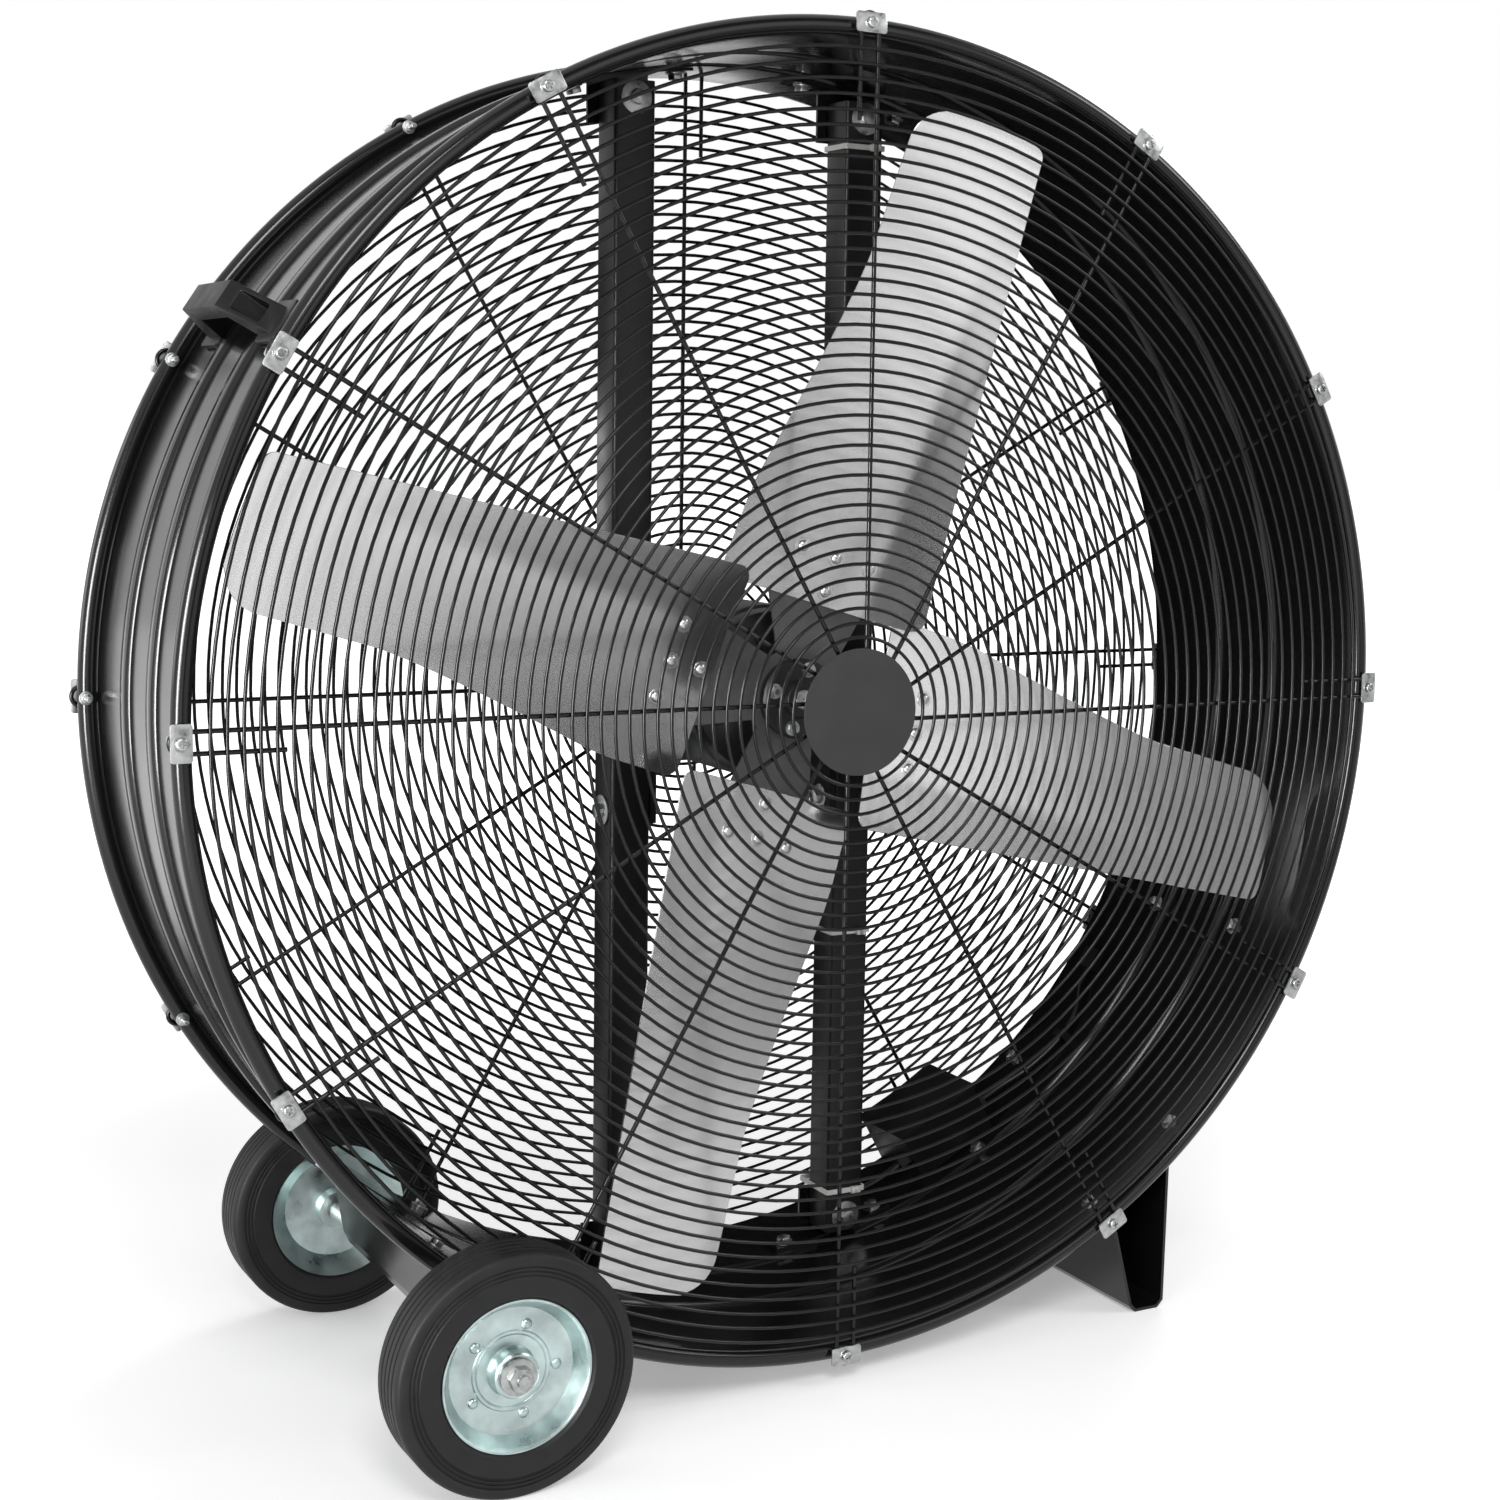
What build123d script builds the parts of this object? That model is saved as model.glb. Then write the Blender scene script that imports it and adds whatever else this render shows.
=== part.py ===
from build123d import *
from math import asin, atan2, cos, degrees, radians, sin, sqrt, tan
import os

os.makedirs("parts", exist_ok=True)

# Drum fan on two wheels and a foot. Millimetres.
# Origin on the floor under the drum axis, half way along the drum. +X is to the right as the
# fan is seen from the front, +Y to the rear and +Z up. Clock angles run clockwise from the top
# as seen from the front, and a radius is measured from the drum axis.

# ---------------------------------------------------------------- driving dimensions
# Drum shell
drum_radius = 576.0
ground_clearance = 21.5
drum_depth = 336.0
drum_sheet = 1.5
bead_size = 16.0
bead_stand = 15.5
bead_corner = 4.0
rib_offset = 44.0
rib_width = 22.0
rib_height = 4.0
rib_flank = 3.0

# Wire guards and their clips
spoke_count = 12
spoke_wire = 4.0
spoke_leg_offset = 8.5
spoke_inner_radius = 46.0
spoke_short_leg = 81.0
ring_wire = 3.2
ring_pitch = 64.0
outer_ring_inset = 27.0
round_hoop_radius = 230.0
weld_gap = 0.05
guard_disc_radius = 56.0
guard_disc_sheet = 1.8
clip_inset = 5.5
clip_length = 30.0
clip_width = 17.0
clip_sheet = 1.8
clip_screw_head = 12.0
clip_screw_height = 4.0

# Posts and their saddles
post_offset = 119.0
post_depth = 62.0
post_size = 40.0
post_wall = 2.0
post_end_gap = 1.0
saddle_sheet = 3.0
saddle_length = 134.0
saddle_front = 62.0
saddle_rear = 90.0
saddle_tab_width = 60.0
saddle_tab_height = 36.0
saddle_bolt_spread = 104.0
post_bolt_inset = 16.0
post_washer = 30.0
post_washer_sheet = 2.0
washer_sides = 8

# Bolts
bolt_flats = 13.0
bolt_head_height = 5.5
nut_height = 6.5

# Motor
motor_radius = 82.0
motor_body_front = 5.0
motor_body_rear = 120.0
motor_front = -24.0
motor_rear = 150.0
bell_radius = 78.0
bell_draft = 8.0
rail_length = 250.0
rail_sheet = 6.0
rail_bolt_spread = 226.0
lug_spread = 114.0
lug_height = 22.0
lug_depth = 30.0
terminal_box_width = 34.0
terminal_box_depth = 46.0
terminal_box_height = 58.0
terminal_box_front = 96.0
terminal_box_sink = 8.0
lug_sink = 2.0

# Rotor
shaft_radius = 9.5
shaft_front = -74.0
shaft_rear = 3.0
bearing_gap = 0.05
press_gap = 0.02
hub_radius = 37.0
hub_front = -66.0
hub_rear = -56.0
hub_bolt_circle = 27.5
hub_bolt_flats = 9.0
blade_count = 4
first_blade_angle = 16.8
blade_sheet = 2.0
blade_root = 88.0
blade_tip = 548.0
blade_fold = 42.0
blade_half_width = 112.0
lead_root = 100.0
lead_tip = 60.0
lead_straight_from = 400.0
trail_root = 99.0
trail_tip = 66.0
lead_tip_corner = 38.0
blade_corner = 12.0
spider_sheet = 3.0
spider_centre_radius = 46.0
spider_arm_start = 30.0
spider_arm_end = 150.0
spider_arm_width = 92.0
spider_arm_root_width = 56.0
spider_root_relief = 0.4
rivet_flats = 9.0
rivet_height = 2.2

# Wheels, axle and their bracket
wheel_diameter = 203.2
wheel_width = 50.0
wheel_side_gap = 37.0
axle_stand = 42.35
axle_radius = 10.0
journal_radius = 8.0
tyre_shoulder = 5.0
tyre_lip = 3.0
rim_radius = 63.6
rim_lip = 3.0
dish_radius = 51.0
dish_depth = 15.0
boss_radius = 19.0
running_gap = 0.3
axle_washer_radius = 16.0
axle_washer_sheet = 2.5
axle_bolt_flats = 24.0
axle_bolt_height = 10.0
bracket_sheet = 3.0
bracket_bead_gap = 4.0
bracket_upper_step = 5.4
bracket_lower_step = 2.4
bracket_flange = 28.0
bracket_bolt_inset = 8.0
flange_seat = 0.5
seat_gap = 0.2

# Foot
foot_inner_lean = 29.3
foot_outer_lean = -2.2
foot_sheet = 3.0
foot_bend = 7.0
foot_upper_angle = 139.6
foot_lower_angle = 148.4
foot_flange = 28.0
boxed_bolt_gap = 13.0

# Handles
handle_angles = {"left_handle": 303.5, "right_handle": 116.5}
handle_reach = 106.0
handle_height = 44.0
handle_grip = 100.0
handle_grip_width = 25.0
handle_round = 5.0
handle_pad_width = 40.0
handle_pad = 5.0
handle_gap_base = 113.0
handle_gap_top = 80.0
handle_gap_height = 28.0
handle_screw_reach = 66.0
handle_pocket_start = 58.5
handle_pocket_length = 21.0
handle_pocket_width = 18.0

# Electrical
box_angle = 151.5
box_length = 85.0
box_end_gap = 8.0
box_width = 96.0
box_height = 50.0
lid_sheet = 4.0
lid_margin = 2.0
gland_flats = 16.0
gland_length = 12.0
motor_gland_drop = 22.0
motor_gland_inset = 15.0
switch_gland_drop = 18.0
switch_gland_inset = 25.0
grommet_size = 22.0
grommet_height = 12.0
motor_cable_diameter = 8.0
switch_cable_diameter = 6.0
cable_run_share = 0.44
switch_cable_run = 24.0
grommet_run = 14.0
tie_end_gap = 42.0
middle_tie_drop = 247.0
tie_width = 5.0
tie_sheet = 1.5
tie_gap = 0.4
cable_clip_angle = 134.0
cable_clip_depth = 86.0
cable_clip_length = 20.0
cable_clip_width = 8.0
cable_clip_wall = 1.5
cable_clip_gap = 1.3
switch_angle = 124.7
switch_end_gap = 50.0
switch_size = 50.0
switch_height = 50.0
switch_corner = 4.0
knob_flats = 32.0
knob_height = 14.0
knob_pointer = 4.0
knob_bar_width = 8.0
spindle_radius = 4.0
spindle_depth = 12.0
inlet_flats = 18.0
inlet_length = 22.0
inlet_bore = 9.0
inlet_height = 30.0
inlet_nut_length = 8.0
inlet_neck_radius = 7.6
inlet_neck_sides = 12

# ---------------------------------------------------------------- derived places
half_depth = drum_depth / 2
axis_height = drum_radius + bead_stand + ground_clearance
drum_inner = drum_radius - drum_sheet
bead_outer = drum_radius + bead_stand
screw_circle = bead_outer - clip_inset
ring_plane = half_depth + spoke_wire + weld_gap
disc_plane = ring_plane + ring_wire + weld_gap
clip_plane = half_depth + spoke_wire
clip_face = clip_plane + clip_sheet
wheel_radius = wheel_diameter / 2
wheel_inner_face = half_depth + wheel_side_gap
wheel_outer_face = wheel_inner_face + wheel_width
axle_reach = drum_radius + axle_stand
axle_x = -sqrt(axle_reach**2 - (axis_height - wheel_radius) ** 2)
axle_clock = 180 + degrees(atan2(-axle_x, axis_height - wheel_radius))
bracket_upper_angle = axle_clock + bracket_upper_step
bracket_lower_angle = axle_clock - bracket_lower_step
bracket_length = drum_depth - 2 * (bead_size + bracket_bead_gap)
bracket_bolt_reach = bracket_length / 2 - bracket_bolt_inset
box_rear = half_depth - box_end_gap
box_front = box_rear - box_length
boxed_bolt_depth = box_front - boxed_bolt_gap
switch_depth = half_depth - switch_end_gap
post_front = post_depth - post_size / 2
post_rear = post_depth + post_size / 2
post_inner_face = post_offset - post_size / 2
post_outer_face = post_offset + post_size / 2
saddle_outer = drum_inner - seat_gap
saddle_inner = saddle_outer - saddle_sheet
post_half_length = sqrt(saddle_inner**2 - post_outer_face**2) - post_end_gap
saddle_angle = degrees(asin(post_offset / drum_inner))
drum_axis = Axis((0, 0, axis_height), (0, 1, 0))
axle_axis = Axis((axle_x, 0, wheel_radius), (0, 1, 0))


def at(angle, radius, depth=0.0):
    """Point at a clock angle, a radius from the drum axis and a depth."""
    turn = radians(angle)
    return (radius * sin(turn), depth, axis_height + radius * cos(turn))


def across(depth):
    """Plane across the drum axis: x to the right, y up, normal to the front."""
    return Plane(origin=(0, depth, axis_height), x_dir=(1, 0, 0), z_dir=(0, -1, 0))


def outward(angle, radius, depth=0.0):
    """Plane square to a radius: x clockwise, y to the rear, normal away from the drum axis."""
    turn = radians(angle)
    clockwise = (cos(turn), 0, -sin(turn))
    return Plane(origin=at(angle, radius, depth), x_dir=clockwise, z_dir=(sin(turn), 0, cos(turn)))


def lengthwise(angle, radius=0.0):
    """Plane through the drum axis: x to the rear, y away from the axis, normal clockwise."""
    turn = radians(angle)
    return Plane(origin=at(angle, radius), x_dir=(0, 1, 0), z_dir=(cos(turn), 0, -sin(turn)))


def planform(angle, depth):
    """Plane across the drum axis: x out along a blade, y clockwise, normal to the rear."""
    turn = radians(angle)
    return Plane(origin=(0, depth, axis_height), x_dir=(sin(turn), 0, cos(turn)), z_dir=(0, 1, 0))


def upright(x, depth):
    """Plane square to X, facing away from the drum axis: x along the drum, y up."""
    away = 1 if x > 0 else -1
    return Plane(origin=(x, depth, axis_height), x_dir=(0, away, 0), z_dir=(away, 0, 0))


def hexagon(plane, flats, height):
    """Hexagonal head or nut on a plane, by its width across flats."""
    with BuildSketch(plane) as outline:
        RegularPolygon(flats / 2, 6, major_radius=False)
    extrude(outline.sketch, amount=height)


# ---------------------------------------------------------------- drum shell
# Half of the section from the first rib to the open end, as (depth, radius).
half_section = [
    (rib_offset - rib_width / 2, drum_radius),
    (rib_offset - rib_width / 2 + rib_flank, drum_radius + rib_height),
    (rib_offset + rib_width / 2 - rib_flank, drum_radius + rib_height),
    (rib_offset + rib_width / 2, drum_radius),
    (half_depth - bead_size, drum_radius),
    (half_depth - bead_size, bead_outer - bead_corner),
    (half_depth - bead_size + bead_corner, bead_outer),
    (half_depth - bead_corner, bead_outer),
    (half_depth, bead_outer - bead_corner),
    (half_depth, drum_inner),
]
mirrored_section = [(-depth, radius) for depth, radius in reversed(half_section)]

with BuildPart() as drum_shell:
    with BuildSketch(lengthwise(0)):
        with BuildLine():
            Polyline(*half_section, *mirrored_section, close=True)
        make_face()
    revolve(axis=drum_axis)
drum_shell.part.label = "drum_shell"
export_step(drum_shell.part, "parts/drum_shell.step")

# ---------------------------------------------------------------- wire guards
# Every fifth ring of the real guard, from the outer one in to the one that carries the disc.
outer_ring_radius = bead_outer - outer_ring_inset
ring_count = int((outer_ring_radius - spoke_inner_radius) / ring_pitch) + 1
ring_radii = [outer_ring_radius - ring_pitch * step for step in range(ring_count)]

# A hairpin spoke lies flat on the bead: a long leg to the disc, a bend round the clip screw
# and a short leg back. Its outline is given along the spoke and counter-clockwise.
outer_half = spoke_leg_offset + spoke_wire / 2
inner_half = spoke_leg_offset - spoke_wire / 2
bend_share = tan(radians(22.5))
hairpin_outline = [
    (spoke_inner_radius, -outer_half),
    (screw_circle + outer_half * bend_share, -outer_half),
    (screw_circle + outer_half, -outer_half * bend_share),
    (screw_circle + outer_half, outer_half * bend_share),
    (screw_circle + outer_half * bend_share, outer_half),
    (screw_circle - spoke_short_leg, outer_half),
    (screw_circle - spoke_short_leg, inner_half),
    (screw_circle + inner_half * bend_share, inner_half),
    (screw_circle + inner_half, inner_half * bend_share),
    (screw_circle + inner_half, -inner_half * bend_share),
    (screw_circle + inner_half * bend_share, -inner_half),
    (spoke_inner_radius, -inner_half),
]

with BuildPart() as front_guard_spokes:
    with BuildSketch(across(-half_depth)):
        with PolarLocations(0, spoke_count, start_angle=90):
            Polygon(*hairpin_outline, align=None)
    extrude(amount=spoke_wire)
    with BuildSketch(across(-disc_plane)):
        Circle(guard_disc_radius)
    extrude(amount=guard_disc_sheet)
front_guard_spokes.part.label = "front_guard_spokes"
export_step(front_guard_spokes.part, "parts/front_guard_spokes.step")

with BuildPart() as front_guard:
    with BuildSketch(across(-ring_plane)):
        for ring_radius in ring_radii:
            corners = 2 * spoke_count if ring_radius > round_hoop_radius else spoke_count
            RegularPolygon(ring_radius + ring_wire / 2, corners)
            RegularPolygon(ring_radius - ring_wire / 2, corners, mode=Mode.SUBTRACT)
    extrude(amount=ring_wire)
front_guard.part.label = "front_guard"
export_step(front_guard.part, "parts/front_guard.step")

with BuildPart() as rear_guard:
    add(front_guard.part.rotate(Axis.Z, 180))
rear_guard.part.label = "rear_guard"
export_step(rear_guard.part, "parts/rear_guard.step")

with BuildPart() as rear_guard_spokes:
    add(front_guard_spokes.part.rotate(Axis.Z, 180))
rear_guard_spokes.part.label = "rear_guard_spokes"
export_step(rear_guard_spokes.part, "parts/rear_guard_spokes.step")

# ---------------------------------------------------------------- guard clips
with BuildPart() as front_clips:
    with BuildSketch(across(-clip_plane)):
        with PolarLocations(screw_circle, spoke_count, start_angle=90):
            Rectangle(clip_width, clip_length)
    extrude(amount=clip_sheet)
front_clips.part.label = "front_clips"
export_step(front_clips.part, "parts/front_clips.step")

with BuildPart() as rear_clips:
    add(front_clips.part.mirror(Plane.XZ))
rear_clips.part.label = "rear_clips"
export_step(rear_clips.part, "parts/rear_clips.step")

with BuildPart() as clip_screws:
    with BuildSketch(across(-clip_face)):
        with PolarLocations(screw_circle, spoke_count, start_angle=90):
            RegularPolygon(clip_screw_head / 2, 6)
    extrude(amount=clip_screw_height)
    mirror(about=Plane.XZ)
clip_screws.part.label = "clip_screws"
export_step(clip_screws.part, "parts/clip_screws.step")

# ---------------------------------------------------------------- posts
for post_name, side in (("left_post", -1), ("right_post", 1)):
    with BuildPart() as post:
        foot_of_post = (side * post_offset, post_depth, axis_height - post_half_length)
        with BuildSketch(Plane(origin=foot_of_post)):
            Rectangle(post_size, post_size)
            bore_size = post_size - 2 * post_wall
            Rectangle(bore_size, bore_size, mode=Mode.SUBTRACT)
        extrude(amount=2 * post_half_length)
    post.part.label = post_name
    export_step(post.part, f"parts/{post_name}.step")

# A saddle is a strap bent to the drum's inner wall, with a tab up the rear of its post.
saddle_angles = {
    "right_upper_saddle": saddle_angle,
    "right_lower_saddle": 180 - saddle_angle,
    "left_lower_saddle": 180 + saddle_angle,
    "left_upper_saddle": 360 - saddle_angle,
}
saddle_half_arc = degrees(saddle_length / 2 / drum_inner)
tab_reach = saddle_inner + saddle_sheet / 2
for saddle_name, saddle_clock in saddle_angles.items():
    side = 1 if sin(radians(saddle_clock)) > 0 else -1
    end = 1 if cos(radians(saddle_clock)) > 0 else -1
    tab_sides = (side * post_offset - saddle_tab_width / 2, side * post_offset + saddle_tab_width / 2)
    tab_foot = post_half_length - saddle_tab_height
    with BuildPart() as saddle:
        with BuildSketch(lengthwise(saddle_clock - saddle_half_arc)):
            with BuildLine():
                Polyline(
                    (saddle_front, saddle_inner),
                    (saddle_front, saddle_outer),
                    (saddle_rear, saddle_outer),
                    (saddle_rear, saddle_inner),
                    close=True,
                )
            make_face()
        revolve(axis=drum_axis, revolution_arc=2 * saddle_half_arc)
        with BuildSketch(across(post_rear + saddle_sheet)):
            with BuildLine():
                Polyline(
                    (tab_sides[0], end * tab_foot),
                    (tab_sides[1], end * tab_foot),
                    (tab_sides[1], end * sqrt(tab_reach**2 - tab_sides[1] ** 2)),
                    (tab_sides[0], end * sqrt(tab_reach**2 - tab_sides[0] ** 2)),
                    close=True,
                )
            make_face()
        extrude(amount=saddle_sheet)
    saddle.part.label = saddle_name
    export_step(saddle.part, f"parts/{saddle_name}.step")

with BuildPart() as saddle_bolts:
    for saddle_clock in saddle_angles.values():
        for step in (-1, 1):
            bolt_clock = saddle_clock + step * degrees(saddle_bolt_spread / 2 / drum_inner)
            bolt_depth = (post_rear + saddle_front) / 2
            inner_face = outward(bolt_clock, saddle_inner - seat_gap, bolt_depth)
            hexagon(inner_face, bolt_flats, -bolt_head_height)
            hexagon(outward(bolt_clock, drum_radius + seat_gap, bolt_depth), bolt_flats, nut_height)
saddle_bolts.part.label = "saddle_bolts"
export_step(saddle_bolts.part, "parts/saddle_bolts.step")

post_bolt_height = post_half_length - post_bolt_inset
with BuildPart() as post_bolts:
    with BuildSketch(across(post_front)):
        with GridLocations(2 * post_offset, 2 * post_bolt_height, 2, 2):
            RegularPolygon(post_washer / 2, washer_sides)
    extrude(amount=post_washer_sheet)
    with BuildSketch(across(post_front - post_washer_sheet)):
        with GridLocations(2 * post_offset, 2 * post_bolt_height, 2, 2):
            RegularPolygon(bolt_flats / 2, 6, major_radius=False)
    extrude(amount=bolt_head_height)
post_bolts.part.label = "post_bolts"
export_step(post_bolts.part, "parts/post_bolts.step")

# ---------------------------------------------------------------- motor and its rails
rail_inner_face = post_inner_face - rail_sheet
for rail_name, side in (("left_motor_rail", -1), ("right_motor_rail", 1)):
    with BuildPart() as rail:
        with BuildSketch(upright(side * rail_inner_face, post_depth)):
            Rectangle(post_size, rail_length)
        extrude(amount=rail_sheet)
    rail.part.label = rail_name
    export_step(rail.part, f"parts/{rail_name}.step")

with BuildPart() as motor_mount_bolts:
    for side in (-1, 1):
        with BuildSketch(upright(side * post_outer_face, post_depth)) as outer_washers:
            with GridLocations(0, rail_bolt_spread, 1, 2):
                RegularPolygon(post_washer / 2, washer_sides)
        extrude(outer_washers.sketch, amount=post_washer_sheet)
        head_face = side * (post_outer_face + post_washer_sheet)
        with BuildSketch(upright(head_face, post_depth)) as bolt_heads:
            with GridLocations(0, rail_bolt_spread, 1, 2):
                RegularPolygon(bolt_flats / 2, 6, major_radius=False)
        extrude(bolt_heads.sketch, amount=bolt_head_height)
        with BuildSketch(upright(side * rail_inner_face, post_depth)) as inner_nuts:
            with GridLocations(0, rail_bolt_spread, 1, 2):
                RegularPolygon(bolt_flats / 2, 6, major_radius=False)
        extrude(inner_nuts.sketch, amount=-nut_height)
motor_mount_bolts.part.label = "motor_mount_bolts"
export_step(motor_mount_bolts.part, "parts/motor_mount_bolts.step")

with BuildPart() as motor_housing:
    with BuildSketch(across(motor_body_rear)):
        Circle(motor_radius)
    extrude(amount=motor_body_rear - motor_body_front)
    lug_start = sqrt(motor_radius**2 - (lug_spread / 2 + lug_height / 2) ** 2) - lug_sink
    lug_length = rail_inner_face - lug_start
    with BuildSketch(across(post_depth + lug_depth / 2)):
        with GridLocations(2 * lug_start + lug_length, lug_spread, 2, 2):
            Rectangle(lug_length, lug_height)
    extrude(amount=lug_depth)
motor_housing.part.label = "motor_housing"
export_step(motor_housing.part, "parts/motor_housing.step")

with BuildPart() as motor_front_bell:
    with BuildSketch(across(motor_body_front)):
        Circle(bell_radius)
    extrude(amount=motor_body_front - motor_front, taper=bell_draft)
    with BuildSketch(across(motor_body_front)):
        Circle(shaft_radius + bearing_gap)
    extrude(amount=motor_body_front - motor_front, mode=Mode.SUBTRACT)
motor_front_bell.part.label = "motor_front_bell"
export_step(motor_front_bell.part, "parts/motor_front_bell.step")

with BuildPart() as motor_rear_bell:
    with BuildSketch(across(motor_body_rear)):
        Circle(bell_radius)
    extrude(amount=motor_body_rear - motor_rear, taper=bell_draft)
motor_rear_bell.part.label = "motor_rear_bell"
export_step(motor_rear_bell.part, "parts/motor_rear_bell.step")

# The terminal box stands on the motor's right flank behind the post, cut to the round body.
terminal_box_centre = motor_radius + terminal_box_width / 2 - terminal_box_sink
terminal_box_rear = terminal_box_front + terminal_box_depth
with BuildPart() as motor_terminal_box:
    with BuildSketch(across(terminal_box_rear)):
        with Locations((terminal_box_centre, 0)):
            Rectangle(terminal_box_width, terminal_box_height)
        Circle(motor_radius + seat_gap, mode=Mode.SUBTRACT)
    extrude(amount=terminal_box_depth)
motor_terminal_box.part.label = "motor_terminal_box"
export_step(motor_terminal_box.part, "parts/motor_terminal_box.step")

# ---------------------------------------------------------------- rotor
with BuildPart() as motor_shaft:
    with BuildSketch(across(shaft_rear)):
        Circle(shaft_radius)
    extrude(amount=shaft_rear - shaft_front)
motor_shaft.part.label = "motor_shaft"
export_step(motor_shaft.part, "parts/motor_shaft.step")

with BuildPart() as hub:
    with BuildSketch(across(hub_rear)):
        Circle(hub_radius)
        Circle(shaft_radius + press_gap, mode=Mode.SUBTRACT)
    extrude(amount=hub_rear - hub_front)
hub.part.label = "hub"
export_step(hub.part, "parts/hub.step")

with BuildPart() as hub_bolts:
    with BuildSketch(across(hub_front)):
        with PolarLocations(hub_bolt_circle, blade_count, start_angle=90 - first_blade_angle):
            RegularPolygon(hub_bolt_flats / 2, 6, major_radius=False)
    extrude(amount=nut_height)
hub_bolts.part.label = "hub_bolts"
export_step(hub_bolts.part, "parts/hub_bolts.step")

# A blade is one sheet, coned forward and twisted, with a fold along its trailing side that is
# sharp at the root and fades out to the tip. Depths are those of its front face on three
# lines: the leading edge side, the fold and the trailing edge side.
root_depths = (-38.0, -61.5, -82.0)
tip_depths = (-84.5, -110.5, -122.0)
section_lines = (-blade_half_width, blade_fold, blade_half_width)


def face_depth(span, side_step):
    """Depth of the blade's front face, linear along the blade and between its lines."""
    share = (span - blade_root) / (blade_tip - blade_root)
    depths = [root + share * (tip - root) for root, tip in zip(root_depths, tip_depths)]
    first = 0 if side_step < blade_fold else 1
    start, end = section_lines[first], section_lines[first + 1]
    across_share = (side_step - start) / (end - start)
    return depths[first] + across_share * (depths[first + 1] - depths[first])


def strip(span, side_steps, front_gap, thickness):
    """Closed section of a sheet that follows the blade face at some steps across it."""
    front = [(step, face_depth(span, step) + front_gap) for step in side_steps]
    return front + [(step, depth + thickness) for step, depth in reversed(front)]


def on_blade(angle, span, side_step):
    """Plane on the front face of a blade, its normal to the front."""
    turn = radians(angle)
    out, clockwise = Vector(sin(turn), 0, cos(turn)), Vector(cos(turn), 0, -sin(turn))
    depth = face_depth(span, side_step)
    place = Vector(0, depth, axis_height) + out * span + clockwise * side_step
    rise_out = face_depth(span + 1, side_step) - depth
    rise_across = face_depth(span, side_step + 1) - depth
    normal = Vector(0, -1, 0) + out * rise_out + clockwise * rise_across
    return Plane(origin=place, x_dir=out + Vector(0, rise_out, 0), z_dir=normal).offset(press_gap)


blade_angles = [first_blade_angle + 360 / blade_count * number for number in range(blade_count)]
blade_front = min(tip_depths) - 10
blade_back = max(root_depths) + 20
tip_trail_span = sqrt(blade_tip**2 - trail_tip**2)
tip_lead_span = sqrt(blade_tip**2 - lead_tip**2)

for number, blade_angle in enumerate(blade_angles, start=1):
    with BuildPart() as blade:
        for span in (blade_root - 10, blade_tip + 10):
            with BuildSketch(outward(blade_angle, span)):
                with BuildLine():
                    Polyline(*strip(span, section_lines, 0, blade_sheet), close=True)
                make_face()
        loft(ruled=True)
        with BuildSketch(planform(blade_angle, blade_front)) as blade_plan:
            with BuildLine():
                Line((blade_root, -lead_root), (blade_root, trail_root))
                Line((blade_root, trail_root), (tip_trail_span, trail_tip))
                ThreePointArc((tip_trail_span, trail_tip), (blade_tip, 0), (tip_lead_span, -lead_tip))
                Line((tip_lead_span, -lead_tip), (lead_straight_from, -lead_tip))
                Bezier(
                    (lead_straight_from, -lead_tip),
                    ((lead_straight_from + blade_root) / 2, -lead_tip),
                    ((lead_straight_from + blade_root) / 2, -lead_root),
                    (blade_root, -lead_root),
                )
            make_face()
            outline_corners = blade_plan.vertices().sort_by(Axis.X)
            tip_corners = outline_corners[-2:].sort_by(Axis.Y)
            fillet(outline_corners[:2] + [tip_corners[1]], blade_corner)
            fillet(blade_plan.vertices().sort_by_distance((tip_lead_span, -lead_tip))[0], lead_tip_corner)
        extrude(amount=blade_back - blade_front, mode=Mode.INTERSECT)
    blade.part.label = f"blade_{number}"
    export_step(blade.part, f"parts/blade_{number}.step")

# The spider is pressed from one sheet: a flat centre behind the hub and four arms that twist
# to lie on the rear of the blades.
arm_sides = (blade_fold - spider_arm_width, blade_fold)
arm_root_half = spider_arm_root_width / 2
arm_root_front = hub_rear + spider_root_relief
arm_root_rear = hub_rear + spider_sheet - spider_root_relief
arm_root = [
    (-arm_root_half, arm_root_front),
    (arm_root_half, arm_root_front),
    (arm_root_half, arm_root_rear),
    (-arm_root_half, arm_root_rear),
]
with BuildPart() as spider:
    with BuildSketch(across(hub_rear + spider_sheet)):
        Circle(spider_centre_radius)
    extrude(amount=spider_sheet)
    for blade_angle in blade_angles:
        arm_sections = [(spider_arm_start, arm_root)]
        for span in (blade_root, spider_arm_end):
            arm_sections.append((span, strip(span, arm_sides, blade_sheet + press_gap, spider_sheet)))
        for span, arm_section in arm_sections:
            with BuildSketch(outward(blade_angle, span)):
                with BuildLine():
                    Polyline(*arm_section, close=True)
                make_face()
        loft(ruled=True)
    with BuildSketch(across(hub_rear + spider_sheet)):
        Circle(shaft_radius + press_gap)
    extrude(amount=2 * spider_sheet, both=True, mode=Mode.SUBTRACT)
spider.part.label = "spider"
export_step(spider.part, "parts/spider.step")

# Each blade is riveted to its arm: three in a row and one nearer the hub.
rivet_places = ((135.0, -34.0), (133.0, 0.0), (133.0, 34.0), (101.0, 0.0))
with BuildPart() as blade_rivets:
    for blade_angle in blade_angles:
        for span, side_step in rivet_places:
            hexagon(on_blade(blade_angle, span, side_step), rivet_flats, rivet_height)
blade_rivets.part.label = "blade_rivets"
export_step(blade_rivets.part, "parts/blade_rivets.step")

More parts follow.
